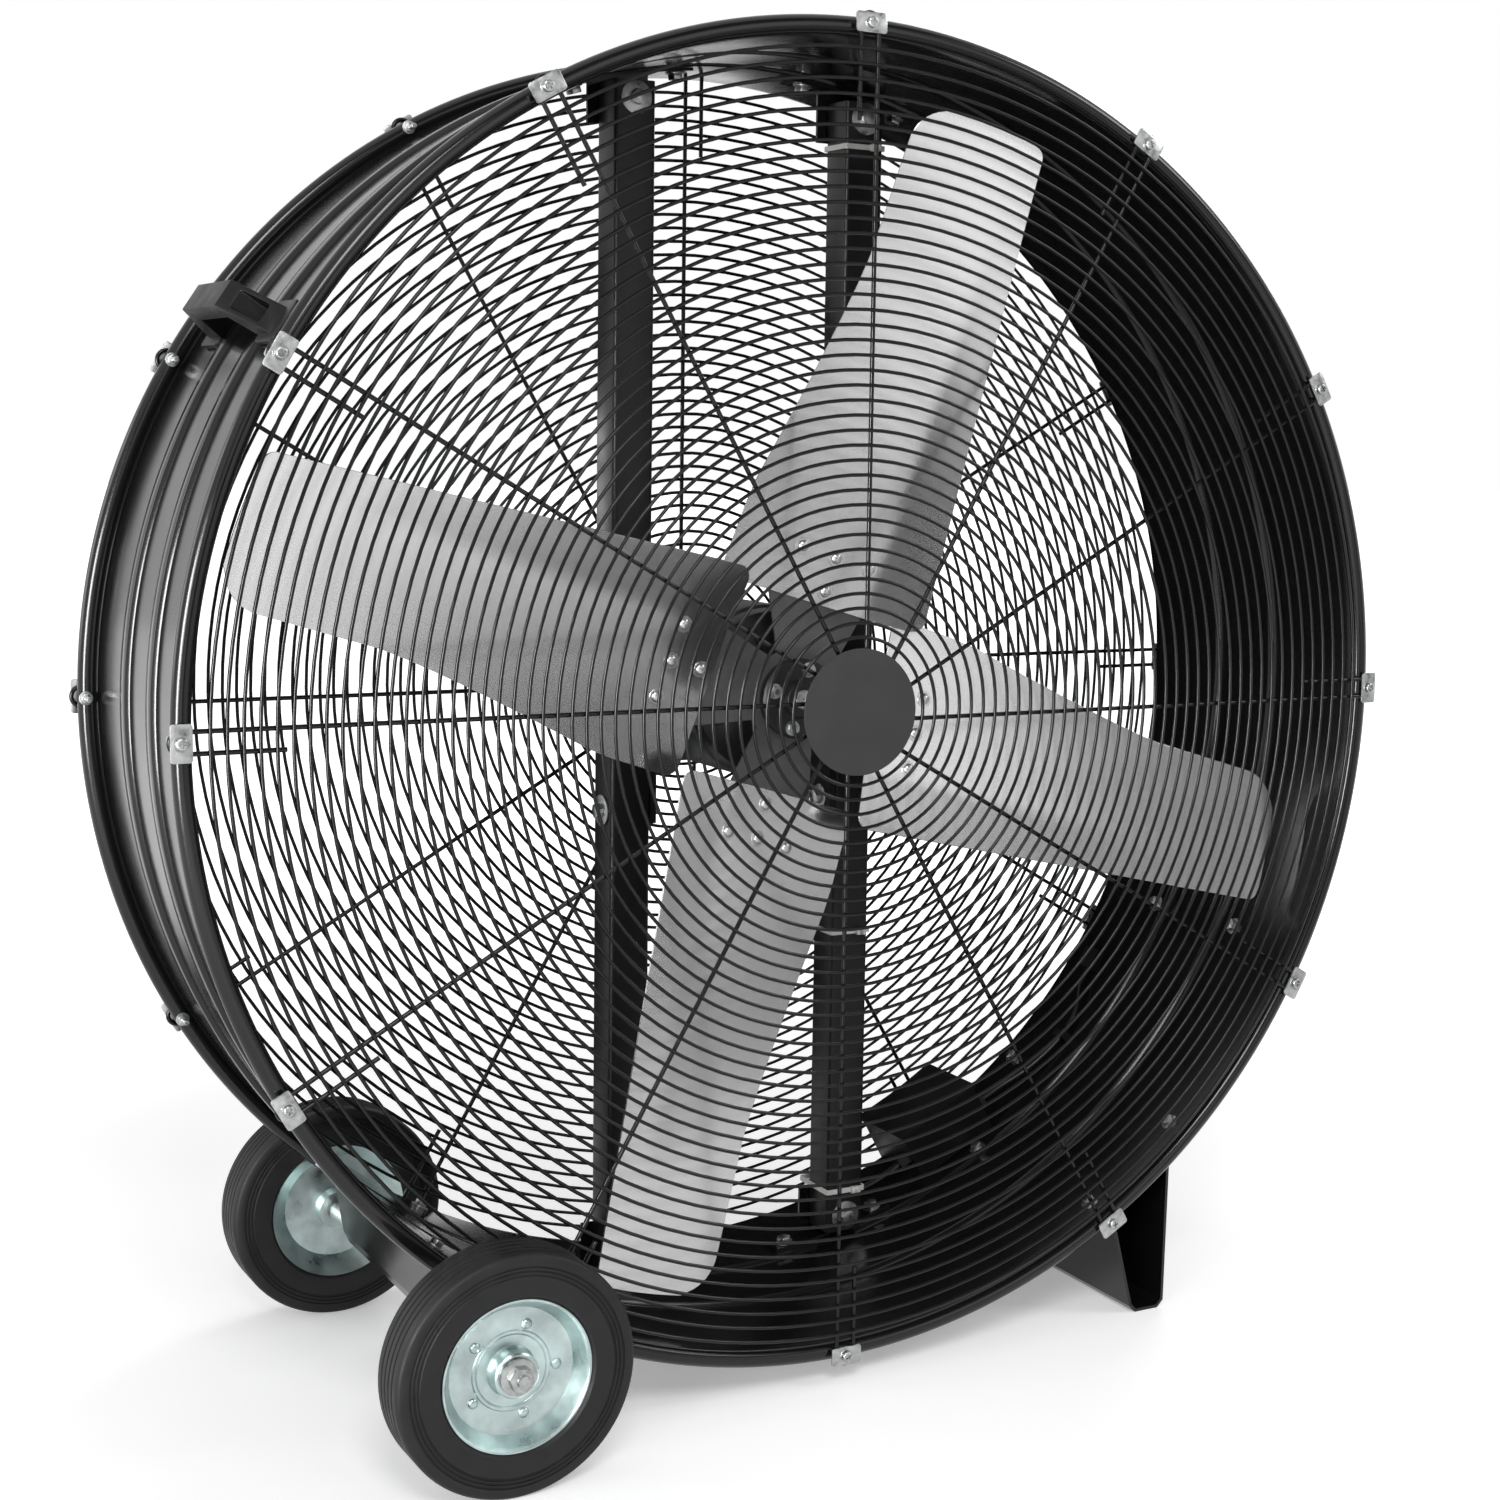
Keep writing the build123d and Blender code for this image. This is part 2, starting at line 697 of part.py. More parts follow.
# ---------------------------------------------------------------- wheels and axle
with BuildPart() as axle:
    with BuildSketch(Plane(origin=(axle_x, 0, wheel_radius), x_dir=(0, 1, 0), z_dir=(1, 0, 0))):
        with BuildLine():
            shoulder = wheel_inner_face - running_gap
            axle_end = wheel_outer_face + running_gap
            Polyline(
                (-axle_end, 0),
                (-axle_end, journal_radius),
                (-shoulder, journal_radius),
                (-shoulder, axle_radius),
                (shoulder, axle_radius),
                (shoulder, journal_radius),
                (axle_end, journal_radius),
                (axle_end, 0),
                close=True,
            )
        make_face()
    revolve(axis=axle_axis)
axle.part.label = "axle"
export_step(axle.part, "parts/axle.step")

with BuildPart() as axle_bolts:
    for side in (-1, 1):
        washer_face = Plane(
            origin=(axle_x, side * axle_end, wheel_radius), x_dir=(1, 0, 0), z_dir=(0, side, 0)
        )
        with BuildSketch(washer_face) as axle_washer:
            RegularPolygon(axle_washer_radius, washer_sides)
        extrude(axle_washer.sketch, amount=axle_washer_sheet)
        hexagon(washer_face.offset(axle_washer_sheet), axle_bolt_flats, axle_bolt_height)
axle_bolts.part.label = "axle_bolts"
export_step(axle_bolts.part, "parts/axle_bolts.step")

for wheel_name, side in (("front", -1), ("rear", 1)):
    wheel_section = Plane(origin=(axle_x, 0, wheel_radius), x_dir=(0, side, 0), z_dir=(side, 0, 0))
    seat_radius = rim_radius + press_gap
    with BuildPart() as tyre:
        with BuildSketch(wheel_section):
            with BuildLine():
                Polyline(
                    (wheel_inner_face + tyre_lip, seat_radius),
                    (wheel_inner_face, wheel_radius - tyre_shoulder),
                    (wheel_inner_face + tyre_shoulder, wheel_radius),
                    (wheel_outer_face - tyre_shoulder, wheel_radius),
                    (wheel_outer_face, wheel_radius - tyre_shoulder),
                    (wheel_outer_face - tyre_lip, seat_radius),
                    close=True,
                )
            make_face()
        revolve(axis=axle_axis)
    tyre.part.label = f"{wheel_name}_tyre"
    export_step(tyre.part, f"parts/{wheel_name}_tyre.step")

    rim_face = wheel_outer_face - tyre_lip
    dish_face = rim_face - dish_depth
    with BuildPart() as rim:
        with BuildSketch(wheel_section):
            with BuildLine():
                Polyline(
                    (wheel_inner_face, journal_radius + bearing_gap),
                    (wheel_inner_face, boss_radius),
                    (wheel_inner_face + dish_depth, boss_radius),
                    (wheel_inner_face + tyre_lip, rim_radius),
                    (rim_face, rim_radius),
                    (rim_face, rim_radius - rim_lip),
                    (dish_face, dish_radius),
                    (dish_face, boss_radius),
                    (wheel_outer_face, boss_radius),
                    (wheel_outer_face, journal_radius + bearing_gap),
                    close=True,
                )
            make_face()
        revolve(axis=axle_axis)
    rim.part.label = f"{wheel_name}_rim"
    export_step(rim.part, f"parts/{wheel_name}_rim.step")

# The wheel bracket is one folded sheet: two flanges on the drum and a nose round the axle.
flange_radius = drum_radius + rib_height + flange_seat


def ground_point(angle, radius):
    """Clock angle and radius as (x, z) over the floor."""
    x, _, z = at(angle, radius)
    return (x, z)


def section_plane(length):
    """Plane across the fan at the front end of a part that is centred along the drum."""
    return Plane(origin=(0, length / 2, 0), x_dir=(1, 0, 0), z_dir=(0, -1, 0))


def nose_point(swing):
    """Corner of the bracket's nose, circumscribed about the axle, as (x, z)."""
    reach = (axle_radius + seat_gap) / cos(radians(nose_step / 2))
    direction = radians(axle_clock + swing)
    return (axle_x + reach * sin(direction), wheel_radius + reach * cos(direction))


flange_turn = degrees(bracket_flange / flange_radius)
nose_step = 60
with BuildPart() as axle_bracket:
    with BuildSketch(section_plane(bracket_length)):
        with BuildLine() as bracket_line:
            Polyline(
                ground_point(bracket_upper_angle + flange_turn, flange_radius),
                ground_point(bracket_upper_angle, flange_radius),
                nose_point(nose_step),
                nose_point(0),
                nose_point(-nose_step),
                ground_point(bracket_lower_angle, flange_radius),
                ground_point(bracket_lower_angle - flange_turn, flange_radius),
            )
            offset(amount=bracket_sheet, side=Side.RIGHT)
        make_face()
    extrude(amount=bracket_length)
axle_bracket.part.label = "axle_bracket"
export_step(axle_bracket.part, "parts/axle_bracket.step")

# ---------------------------------------------------------------- foot
foot_turn = degrees(foot_flange / flange_radius)
foot_outer_x = ground_point(foot_upper_angle, flange_radius + foot_sheet)[0] + foot_outer_lean
foot_inner_x = ground_point(foot_lower_angle, flange_radius + foot_sheet)[0] + foot_inner_lean
with BuildPart() as foot:
    with BuildSketch(section_plane(bracket_length)):
        with BuildLine() as foot_line:
            Polyline(
                ground_point(foot_upper_angle - foot_turn, flange_radius + foot_sheet),
                ground_point(foot_upper_angle, flange_radius + foot_sheet),
                (foot_outer_x, foot_bend),
                (foot_outer_x - foot_bend, 0),
                (foot_inner_x + foot_bend, 0),
                (foot_inner_x, foot_bend),
                ground_point(foot_lower_angle, flange_radius + foot_sheet),
                ground_point(foot_lower_angle + foot_turn, flange_radius + foot_sheet),
            )
            offset(amount=foot_sheet, side=Side.RIGHT)
        make_face()
    extrude(amount=bracket_length)
foot.part.label = "foot"
export_step(foot.part, "parts/foot.step")

# Bolts through the drum wall: heads inside, nuts on the flanges outside. The one beside the
# junction box sits in front of it.
with BuildPart() as foot_and_bracket_bolts:
    bracket_face = flange_radius * cos(radians(flange_turn / 2)) + bracket_sheet
    foot_face = (flange_radius + foot_sheet) * cos(radians(foot_turn / 2))
    for bolt_clock, flange_face, rear_reach in (
        (bracket_upper_angle + flange_turn / 2, bracket_face, bracket_bolt_reach),
        (bracket_lower_angle - flange_turn / 2, bracket_face, bracket_bolt_reach),
        (foot_upper_angle - foot_turn / 2, foot_face, bracket_bolt_reach),
        (foot_lower_angle + foot_turn / 2, foot_face, boxed_bolt_depth),
    ):
        for bolt_depth in (-bracket_bolt_reach, rear_reach):
            inner_wall = outward(bolt_clock, drum_inner - seat_gap, bolt_depth)
            hexagon(inner_wall, bolt_flats, -bolt_head_height)
            hexagon(outward(bolt_clock, flange_face + press_gap, bolt_depth), bolt_flats, nut_height)
foot_and_bracket_bolts.part.label = "foot_and_bracket_bolts"
export_step(foot_and_bracket_bolts.part, "parts/foot_and_bracket_bolts.step")

# ---------------------------------------------------------------- handles
# A moulded bridge along the drum: its section is given along the drum and out from its wall.
grip_reach = handle_grip / 2
slope_foot = grip_reach + handle_height - handle_pad
gap_base = handle_gap_base / 2
gap_top = handle_gap_top / 2
handle_section = [
    (-slope_foot, handle_pad),
    (-grip_reach, handle_height),
    (grip_reach, handle_height),
    (slope_foot, handle_pad),
    (slope_foot, 0),
    (gap_base, 0),
    (gap_top, handle_gap_height),
    (-gap_top, handle_gap_height),
    (-gap_base, 0),
    (-slope_foot, 0),
]
pad_length = handle_reach - gap_base
for handle_name, handle_angle in handle_angles.items():
    handle_base = outward(handle_angle, drum_radius + seat_gap)
    with BuildPart() as handle:
        with BuildSketch(lengthwise(handle_angle, drum_radius + seat_gap)):
            Polygon(*handle_section, align=None)
        extrude(amount=handle_grip_width / 2, both=True)
        away = Axis(handle_base.origin, handle_base.z_dir)
        fillet(handle.edges().filter_by(Axis.Y).group_by(away)[-1], handle_round)
        with BuildSketch(handle_base):
            with GridLocations(0, 2 * handle_reach - pad_length, 1, 2):
                Rectangle(handle_pad_width, pad_length)
        extrude(amount=handle_pad)
        with BuildSketch(handle_base.offset(handle_pad)):
            with GridLocations(0, 2 * handle_pocket_start + handle_pocket_length, 1, 2):
                Rectangle(handle_pocket_width, handle_pocket_length)
        extrude(amount=handle_height, mode=Mode.SUBTRACT)
    handle.part.label = handle_name
    export_step(handle.part, f"parts/{handle_name}.step")

with BuildPart() as handle_screws:
    for handle_angle in handle_angles.values():
        for screw_depth in (-handle_screw_reach, handle_screw_reach):
            screw_face = drum_radius + seat_gap + handle_pad
            hexagon(outward(handle_angle, screw_face, screw_depth), bolt_flats, bolt_head_height)
            hexagon(outward(handle_angle, drum_inner - seat_gap, screw_depth), bolt_flats, -nut_height)
handle_screws.part.label = "handle_screws"
export_step(handle_screws.part, "parts/handle_screws.step")

# ---------------------------------------------------------------- electrical
# The junction box stands on the inner wall, the corners of its flat back on the round wall.
box_back = sqrt((drum_inner - seat_gap) ** 2 - (box_width / 2) ** 2)
box_depth = (box_front + box_rear) / 2
with BuildPart() as junction_box:
    with BuildSketch(outward(box_angle, box_back - box_height, box_depth)):
        Rectangle(box_width, box_rear - box_front)
    extrude(amount=box_height)
junction_box.part.label = "junction_box"
export_step(junction_box.part, "parts/junction_box.step")

with BuildPart() as junction_box_lid:
    with BuildSketch(outward(box_angle, box_back - box_height, box_depth)):
        Rectangle(box_width + 2 * lid_margin, box_rear - box_front + 2 * lid_margin)
    extrude(amount=-lid_sheet)
junction_box_lid.part.label = "junction_box_lid"
export_step(junction_box_lid.part, "parts/junction_box_lid.step")


def bend_radii(points):
    """Bend at each inner point: 0.45 of its shorter run over the tangent of half its turn."""
    radii = []
    for before, corner, after in zip(points, points[1:], points[2:]):
        run_in = Vector(*corner) - Vector(*before)
        run_out = Vector(*after) - Vector(*corner)
        half_turn = radians(run_in.get_angle(run_out)) / 2
        radii.append(0.45 * min(run_in.length, run_out.length) / tan(half_turn))
    return radii


def cable_start(points):
    """Plane square to the first run of a cable."""
    first_run = Vector(*points[1]) - Vector(*points[0])
    return Plane(origin=points[0], z_dir=first_run)


def on_box_side(side, radius, depth, step=0.0):
    """Plane on a side of the junction box: side 1 looks clockwise, -1 counter-clockwise."""
    turn = radians(box_angle)
    clockwise = Vector(cos(turn), 0, -sin(turn)) * side
    place = Vector(*at(box_angle, radius, depth)) + clockwise * (box_width / 2 + step)
    return Plane(origin=place, x_dir=(0, 1, 0), z_dir=clockwise)


motor_gland_radius = box_back - motor_gland_drop
motor_gland_depth = box_front + motor_gland_inset
switch_gland_radius = box_back - switch_gland_drop
switch_gland_depth = box_front + switch_gland_inset
with BuildPart() as cable_glands:
    hexagon(on_box_side(1, motor_gland_radius, motor_gland_depth), gland_flats, gland_length)
    hexagon(on_box_side(-1, switch_gland_radius, switch_gland_depth), gland_flats, gland_length)
cable_glands.part.label = "cable_glands"
export_step(cable_glands.part, "parts/cable_glands.step")

# The motor cable leaves the box, dips along the wall, turns up behind the right post and is
# tied to it up to the motor's terminal box.
motor_cable_start = on_box_side(1, motor_gland_radius, motor_gland_depth, gland_length)
cable_room = motor_cable_start.origin.X - post_offset
cable_floor = axis_height - drum_inner
cable_entry_depth = post_rear + 30.0
motor_cable_points = [
    tuple(motor_cable_start.origin),
    tuple(motor_cable_start.offset(cable_run_share * cable_room).origin),
    (post_offset + 28.5, post_rear + 9.6, cable_floor + 44.0),
    (post_offset + 5.2, post_rear + 10.4, cable_floor + 57.7),
    (post_offset - 7.0, post_rear + 9.5, cable_floor + 81.2),
    (post_offset - 7.6, post_rear + 7.0, cable_floor + 121.5),
    (post_offset - 6.4, post_rear + 4.9, axis_height - 398.0),
    (post_offset - 7.4, post_rear + 4.5, axis_height - 313.0),
    (post_offset - 6.2, post_rear + 4.6, axis_height - 228.0),
    (post_offset - 7.0, post_rear + 4.8, axis_height - 158.0),
    (post_offset - 9.0, post_rear + 9.0, axis_height - 113.0),
    (post_offset - 15.0, post_rear + 19.0, axis_height - 85.0),
    (terminal_box_centre, cable_entry_depth, axis_height - 59.0),
    (terminal_box_centre, cable_entry_depth, axis_height - terminal_box_height / 2),
]

# The thin switch cable leaves the box's other side and follows the wall under one clip to
# the grommet behind the speed switch.
wall_lay = drum_inner - seat_gap - switch_cable_diameter / 2
switch_cable_start = on_box_side(-1, switch_gland_radius, switch_gland_depth, gland_length)
grommet_turn = radians(switch_angle)
grommet_side = Plane(
    origin=Vector(*at(switch_angle, drum_inner - seat_gap - grommet_height / 2, switch_depth - 4))
    + Vector(cos(grommet_turn), 0, -sin(grommet_turn)) * (grommet_size / 2),
    z_dir=(cos(grommet_turn), 0, -sin(grommet_turn)),
)
switch_cable_points = [
    tuple(switch_cable_start.origin),
    tuple(switch_cable_start.offset(switch_cable_run).origin),
    at(139.4, wall_lay - 4.8, cable_clip_depth + 5.0),
    at(cable_clip_angle, wall_lay - 0.6, cable_clip_depth),
    at(130.4, wall_lay - 2.3, cable_clip_depth + 6.0),
    at(128.6, wall_lay - 3.3, switch_depth - 12.0),
    tuple(grommet_side.offset(grommet_run).origin),
    tuple(grommet_side.origin),
]

for cable_name, diameter, points in (
    ("motor_cable", motor_cable_diameter, motor_cable_points),
    ("switch_cable", switch_cable_diameter, switch_cable_points),
):
    radii = bend_radii(points)
    with BuildPart() as cable:
        with BuildLine() as route:
            FilletPolyline(*points, radius=radii)
        with BuildSketch(cable_start(points)):
            RegularPolygon(diameter / 2, 6)
        sweep()
    print(cable_name, "bends", [round(radius) for radius in radii])
    route_length = sum(edge.length for edge in route.edges())
    swept_volume = 3 * (diameter / 2) ** 2 * sin(radians(60)) * route_length
    volume_share = round(cable.part.volume / swept_volume, 3)
    print(cable_name, "length", round(route_length), "volume share", volume_share)
    cable.part.label = cable_name
    export_step(cable.part, f"parts/{cable_name}.step")

# Ties round the right post; the two lower ones hold the motor cable too.
tie_heights = (
    axis_height + post_half_length - tie_end_gap,
    axis_height - middle_tie_drop,
    axis_height - post_half_length + tie_end_gap,
)
along_post = [point for point in motor_cable_points if point[2] < axis_height - middle_tie_drop + 34]
cable_back = max(depth for _, depth, _ in along_post)
with BuildPart() as cable_ties:
    for tie_height in tie_heights:
        tie_front = post_front - tie_gap
        holds_cable = tie_height < axis_height
        tie_back = (cable_back + motor_cable_diameter / 2 if holds_cable else post_rear) + tie_gap
        tie_reach = tie_back - tie_front
        tie_centre = (post_offset, (tie_front + tie_back) / 2, tie_height - tie_width / 2)
        with BuildSketch(Plane(origin=tie_centre)):
            Rectangle(post_size + 2 * (tie_gap + tie_sheet), tie_reach + 2 * tie_sheet)
            Rectangle(post_size + 2 * tie_gap, tie_reach, mode=Mode.SUBTRACT)
        extrude(amount=tie_width)
cable_ties.part.label = "cable_ties"
export_step(cable_ties.part, "parts/cable_ties.step")

slot = switch_cable_diameter + 2 * cable_clip_gap
with BuildPart() as cable_clip:
    clip_top = drum_inner - seat_gap
    clip_base = lengthwise(cable_clip_angle, clip_top)
    with BuildSketch(clip_base):
        with Locations((cable_clip_depth, -slot / 2 - cable_clip_wall / 2)):
            Rectangle(cable_clip_length, slot + cable_clip_wall)
        with Locations((cable_clip_depth, -slot / 2)):
            Rectangle(slot, slot, mode=Mode.SUBTRACT)
    extrude(amount=cable_clip_width / 2, both=True)
cable_clip.part.label = "cable_clip"
export_step(cable_clip.part, "parts/cable_clip.step")

with BuildPart() as wall_grommet:
    with BuildSketch(outward(switch_angle, drum_inner - seat_gap, switch_depth)):
        Rectangle(grommet_size, grommet_size)
    extrude(amount=-grommet_height)
wall_grommet.part.label = "wall_grommet"
export_step(wall_grommet.part, "parts/wall_grommet.step")

switch_base = outward(switch_angle, drum_radius + seat_gap, switch_depth)
with BuildPart() as speed_switch_housing:
    with BuildSketch(switch_base):
        Rectangle(switch_size, switch_size)
    extrude(amount=switch_height)
    top_face = speed_switch_housing.faces().sort_by(Axis(switch_base.origin, switch_base.z_dir))[-1]
    chamfer(top_face.edges(), switch_corner)
    with BuildSketch(switch_base.offset(switch_height - spindle_depth - running_gap)):
        Circle(spindle_radius + bearing_gap)
    extrude(amount=spindle_depth + running_gap, mode=Mode.SUBTRACT)
speed_switch_housing.part.label = "speed_switch_housing"
export_step(speed_switch_housing.part, "parts/speed_switch_housing.step")

# The knob is a twelve-sided disc with a grip bar across it, on a spindle in the housing.
knob_base = switch_base.offset(switch_height + running_gap)
with BuildPart() as speed_knob:
    with BuildSketch(knob_base):
        RegularPolygon(knob_flats / 2, 12, major_radius=False)
    extrude(amount=knob_height - knob_pointer)
    with BuildSketch(knob_base.offset(knob_height - knob_pointer)):
        Rectangle(knob_bar_width, knob_flats - 2 * knob_pointer)
    extrude(amount=knob_pointer)
    with BuildSketch(knob_base):
        Circle(spindle_radius)
    extrude(amount=-spindle_depth)
speed_knob.part.label = "speed_knob"
export_step(speed_knob.part, "parts/speed_knob.step")

# The inlet gland for the mains lead looks to the rear from the switch housing, over the bead,
# and is open through.
with BuildPart() as inlet_gland:
    inlet_place = at(switch_angle, drum_radius + seat_gap + inlet_height, switch_depth + switch_size / 2)
    radial = (sin(radians(switch_angle)), 0, cos(radians(switch_angle)))
    inlet_plane = Plane(origin=inlet_place, x_dir=radial, z_dir=(0, 1, 0))
    hexagon(inlet_plane, inlet_flats, inlet_nut_length)
    with BuildSketch(inlet_plane):
        RegularPolygon(inlet_neck_radius, inlet_neck_sides)
    extrude(amount=inlet_length)
    with BuildSketch(inlet_plane):
        Circle(inlet_bore / 2)
    extrude(amount=inlet_length, mode=Mode.SUBTRACT)
inlet_gland.part.label = "inlet_gland"
export_step(inlet_gland.part, "parts/inlet_gland.step")
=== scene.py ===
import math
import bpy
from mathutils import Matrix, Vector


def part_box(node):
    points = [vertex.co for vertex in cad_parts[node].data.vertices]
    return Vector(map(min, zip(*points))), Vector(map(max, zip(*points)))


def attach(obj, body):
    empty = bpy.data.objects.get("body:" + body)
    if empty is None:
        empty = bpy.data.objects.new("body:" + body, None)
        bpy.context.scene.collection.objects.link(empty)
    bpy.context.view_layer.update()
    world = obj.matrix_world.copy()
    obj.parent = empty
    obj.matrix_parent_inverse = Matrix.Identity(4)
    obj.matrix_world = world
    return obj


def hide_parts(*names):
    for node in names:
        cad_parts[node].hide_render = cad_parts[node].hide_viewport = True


bl_info = {
    "name": "Drum fan",
    "version": (1, 0, 0),
    "blender": (4, 5, 0),
    "location": "3D Viewport > Sidebar > Drum Fan",
    "description": "Dresses the packed drum fan: drum, guards, rotor, motor, stand and small parts",
    "category": "Object",
}

from math import cos, pi, radians, sin, sqrt

import bmesh
import bpy
from mathutils import Matrix, Vector

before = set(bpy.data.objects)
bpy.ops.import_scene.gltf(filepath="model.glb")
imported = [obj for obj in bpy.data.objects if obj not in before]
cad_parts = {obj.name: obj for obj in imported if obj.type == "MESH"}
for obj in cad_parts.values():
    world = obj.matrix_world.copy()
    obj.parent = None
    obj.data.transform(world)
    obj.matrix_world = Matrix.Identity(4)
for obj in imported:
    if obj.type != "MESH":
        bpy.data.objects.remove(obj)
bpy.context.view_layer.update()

# Places are in metres, in the frame's own axes: +X to the right seen from the front, +Y to the
# rear and +Z up. A clock angle runs clockwise from the top as seen from the front.
MM = 0.001
DRUM_LOW, DRUM_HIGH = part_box("drum_shell")
AXIS_HEIGHT = (DRUM_LOW.z + DRUM_HIGH.z) / 2
HALF_DEPTH = DRUM_HIGH.y
AXLE_LOW, AXLE_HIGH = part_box("axle")
AXLE = Vector(((AXLE_LOW.x + AXLE_HIGH.x) / 2, 0, (AXLE_LOW.z + AXLE_HIGH.z) / 2))
WHEEL_RADIUS = (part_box("front_tyre")[1].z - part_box("front_tyre")[0].z) / 2
HANDLE_CLOCKS = {"left_handle": 303.5, "right_handle": 116.5}
CAMERA_PLACE = Vector((-1.034, -1.965, 0.855))

# The sRGB curve: a straight foot up to LOW_END, then a power.
SRGB_TOP = 255
SRGB_LOW_END, SRGB_LOW_SLOPE = 0.04045, 12.92
SRGB_GAIN, SRGB_SHIFT, SRGB_POWER = 1.055, 0.055, 2.4


def linear(hex_colour):
    """An sRGB hex value as linear red, green, blue and alpha."""
    made = []
    for start in (1, 3, 5):
        part = int(hex_colour[start : start + 2], 16) / SRGB_TOP
        if part <= SRGB_LOW_END:
            made.append(part / SRGB_LOW_SLOPE)
        else:
            made.append(((part + SRGB_SHIFT) / SRGB_GAIN) ** SRGB_POWER)
    return (*made, 1.0)


def length(name, description, default_mm):
    """A size for the panel, given in millimetres and kept in metres."""
    return bpy.props.FloatProperty(
        name=name,
        description=description,
        default=default_mm * MM,
        min=0.0,
        unit="LENGTH",
        precision=4,
    )


def count(name, description, default):
    return bpy.props.IntProperty(name=name, description=description, default=default, min=1)


def colour(name, description, hex_colour):
    """A colour for the panel, given as sRGB hex and kept linear."""
    return bpy.props.FloatVectorProperty(
        name=name,
        description=description,
        default=linear(hex_colour),
        size=4,
        min=0.0,
        max=1.0,
        subtype="COLOR",
    )


class DrumFanSizes(bpy.types.PropertyGroup):
    drum_radius: length("Drum radius", "Outside of the plain drum wall", 576)
    drum_sheet: length("Drum sheet", "Thickness of the rolled sheet", 1.5)
    bead_diameter: length("Bead", "Rolled bead at each end of the drum", 16)
    rib_offset: length("Rib offset", "Distance of a pressed rib from mid-depth", 44)
    rib_width: length("Rib width", "Width of a pressed rib at its foot", 22)
    rib_height: length("Rib height", "How far a pressed rib stands out", 4)
    ring_count: count("Guard rings", "Rings of each wire guard", 40)
    first_ring: length("First ring", "Radius of the innermost guard ring", 65.3)
    ring_pitch: length("Ring pitch", "Distance from ring to ring", 12.8)
    ring_wire: length("Ring wire", "Diameter of the ring wire", 3.2)
    spoke_wire: length("Spoke wire", "Diameter of the hairpin spokes", 4)
    spoke_count: count("Spokes", "Hairpin spokes and clips of each guard", 12)
    spoke_leg: length("Spoke leg", "Distance of a spoke's leg from its middle", 8.5)
    screw_circle: length("Clip circle", "Radius on which the clip screws stand", 586)
    disc_radius: length("Guard disc", "Radius of the plain disc on each guard", 56)
    clip_length: length("Clip length", "Length of a guard clip along the bead", 30)
    clip_width: length("Clip width", "Width of a guard clip", 17)
    clip_sheet: length("Clip sheet", "Thickness of a guard clip", 1.8)
    post_corner: length("Post corner", "Outer corner radius of the square posts", 4)
    blade_sheet: length("Blade sheet", "Thickness of the blade sheet", 2)
    motor_radius: length("Motor radius", "Radius of the rolled motor body", 82)
    switch_cable: length("Switch cable", "Diameter of the thin cable", 6)
    motor_cable: length("Motor cable", "Diameter of the motor cable", 8)


class DrumFanColours(bpy.types.PropertyGroup):
    enamel: colour("Enamel", "Drum, stand and saddles", "#121213")
    wire: colour("Wire", "Guards", "#0a0a0b")
    post: colour("Posts", "Square posts and motor rails", "#171718")
    disc: colour("Disc", "Plain discs of the guards", "#353535")
    zinc: colour("Zinc", "Clips, bolts and washers", "#b0b1b1")
    rim: colour("Rim zinc", "Blue-white zinc of the wheel rims", "#bac9c8")
    blade: colour("Blade", "Brushed aluminium sheet", "#dcdcdc")
    spider: colour("Spider", "Pressed arms behind the blades", "#505050")
    motor: colour("Motor", "Rolled motor body", "#5b5d5f")
    casting: colour("Castings", "Motor end bells and hub", "#1c1c1e")
    steel: colour("Bright steel", "Axle, shaft and blade rivets", "#cfd0ce")
    tyre: colour("Tyre", "Moulded rubber", "#171717")
    plastic: colour("Plastic", "Handles, switch and boxes", "#0e0e0f")
    nylon: colour("Nylon", "Cable ties", "#d8d8d4")
    floor: colour("Floor", "Studio floor", "#f4f4f4")


# ---------------------------------------------------------------- places
def spot(angle, radius, depth=0.0):
    """Point at a clock angle, a radius from the drum axis and a depth."""
    turn = radians(angle)
    return Vector((radius * sin(turn), depth, AXIS_HEIGHT + radius * cos(turn)))


def outward(angle):
    return Vector((sin(radians(angle)), 0, cos(radians(angle))))


def clockwise(angle):
    return Vector((cos(radians(angle)), 0, -sin(radians(angle))))


def stand(place, up, right):
    """Matrix that stands a piece modelled on +Z at a place, its +X towards right."""
    up = Vector(up).normalized()
    right = (Vector(right) - up * Vector(right).dot(up)).normalized()
    turned = Matrix((right, up.cross(right), up)).transposed()
    return Matrix.Translation(place) @ turned.to_4x4()


def on_wall(clock, radius, depth, facing):
    """Placement on the drum's wall, facing outwards (1) or inwards (-1)."""
    return stand(spot(clock, radius, depth), facing * outward(clock), (0, 1, 0))


def rear_of(placements):
    """The same places on the other end of the drum, as the fan is turned round."""
    return [Matrix.Rotation(pi, 4, "Z") @ placement for placement in placements]


# ---------------------------------------------------------------- modelling
def deselect():
    if bpy.context.object and bpy.context.object.mode != "OBJECT":
        bpy.ops.object.mode_set(mode="OBJECT")
    bpy.ops.object.select_all(action="DESELECT")


def take(*pieces):
    """Selects these pieces alone, the first of them active."""
    deselect()
    for piece in pieces:
        piece.select_set(True)
    bpy.context.view_layer.objects.active = pieces[0]


def choose(piece, kind, test):
    """In edit mode, selects the vertices, edges or faces that pass a test, and only those."""
    bpy.ops.mesh.select_all(action="DESELECT")
    bpy.ops.mesh.select_mode(type={"verts": "VERT", "edges": "EDGE", "faces": "FACE"}[kind])
    shape = bmesh.from_edit_mesh(piece.data)
    for element in getattr(shape, kind):
        if test(element):
            element.select_set(True)
    shape.select_flush_mode()
    bmesh.update_edit_mesh(piece.data)


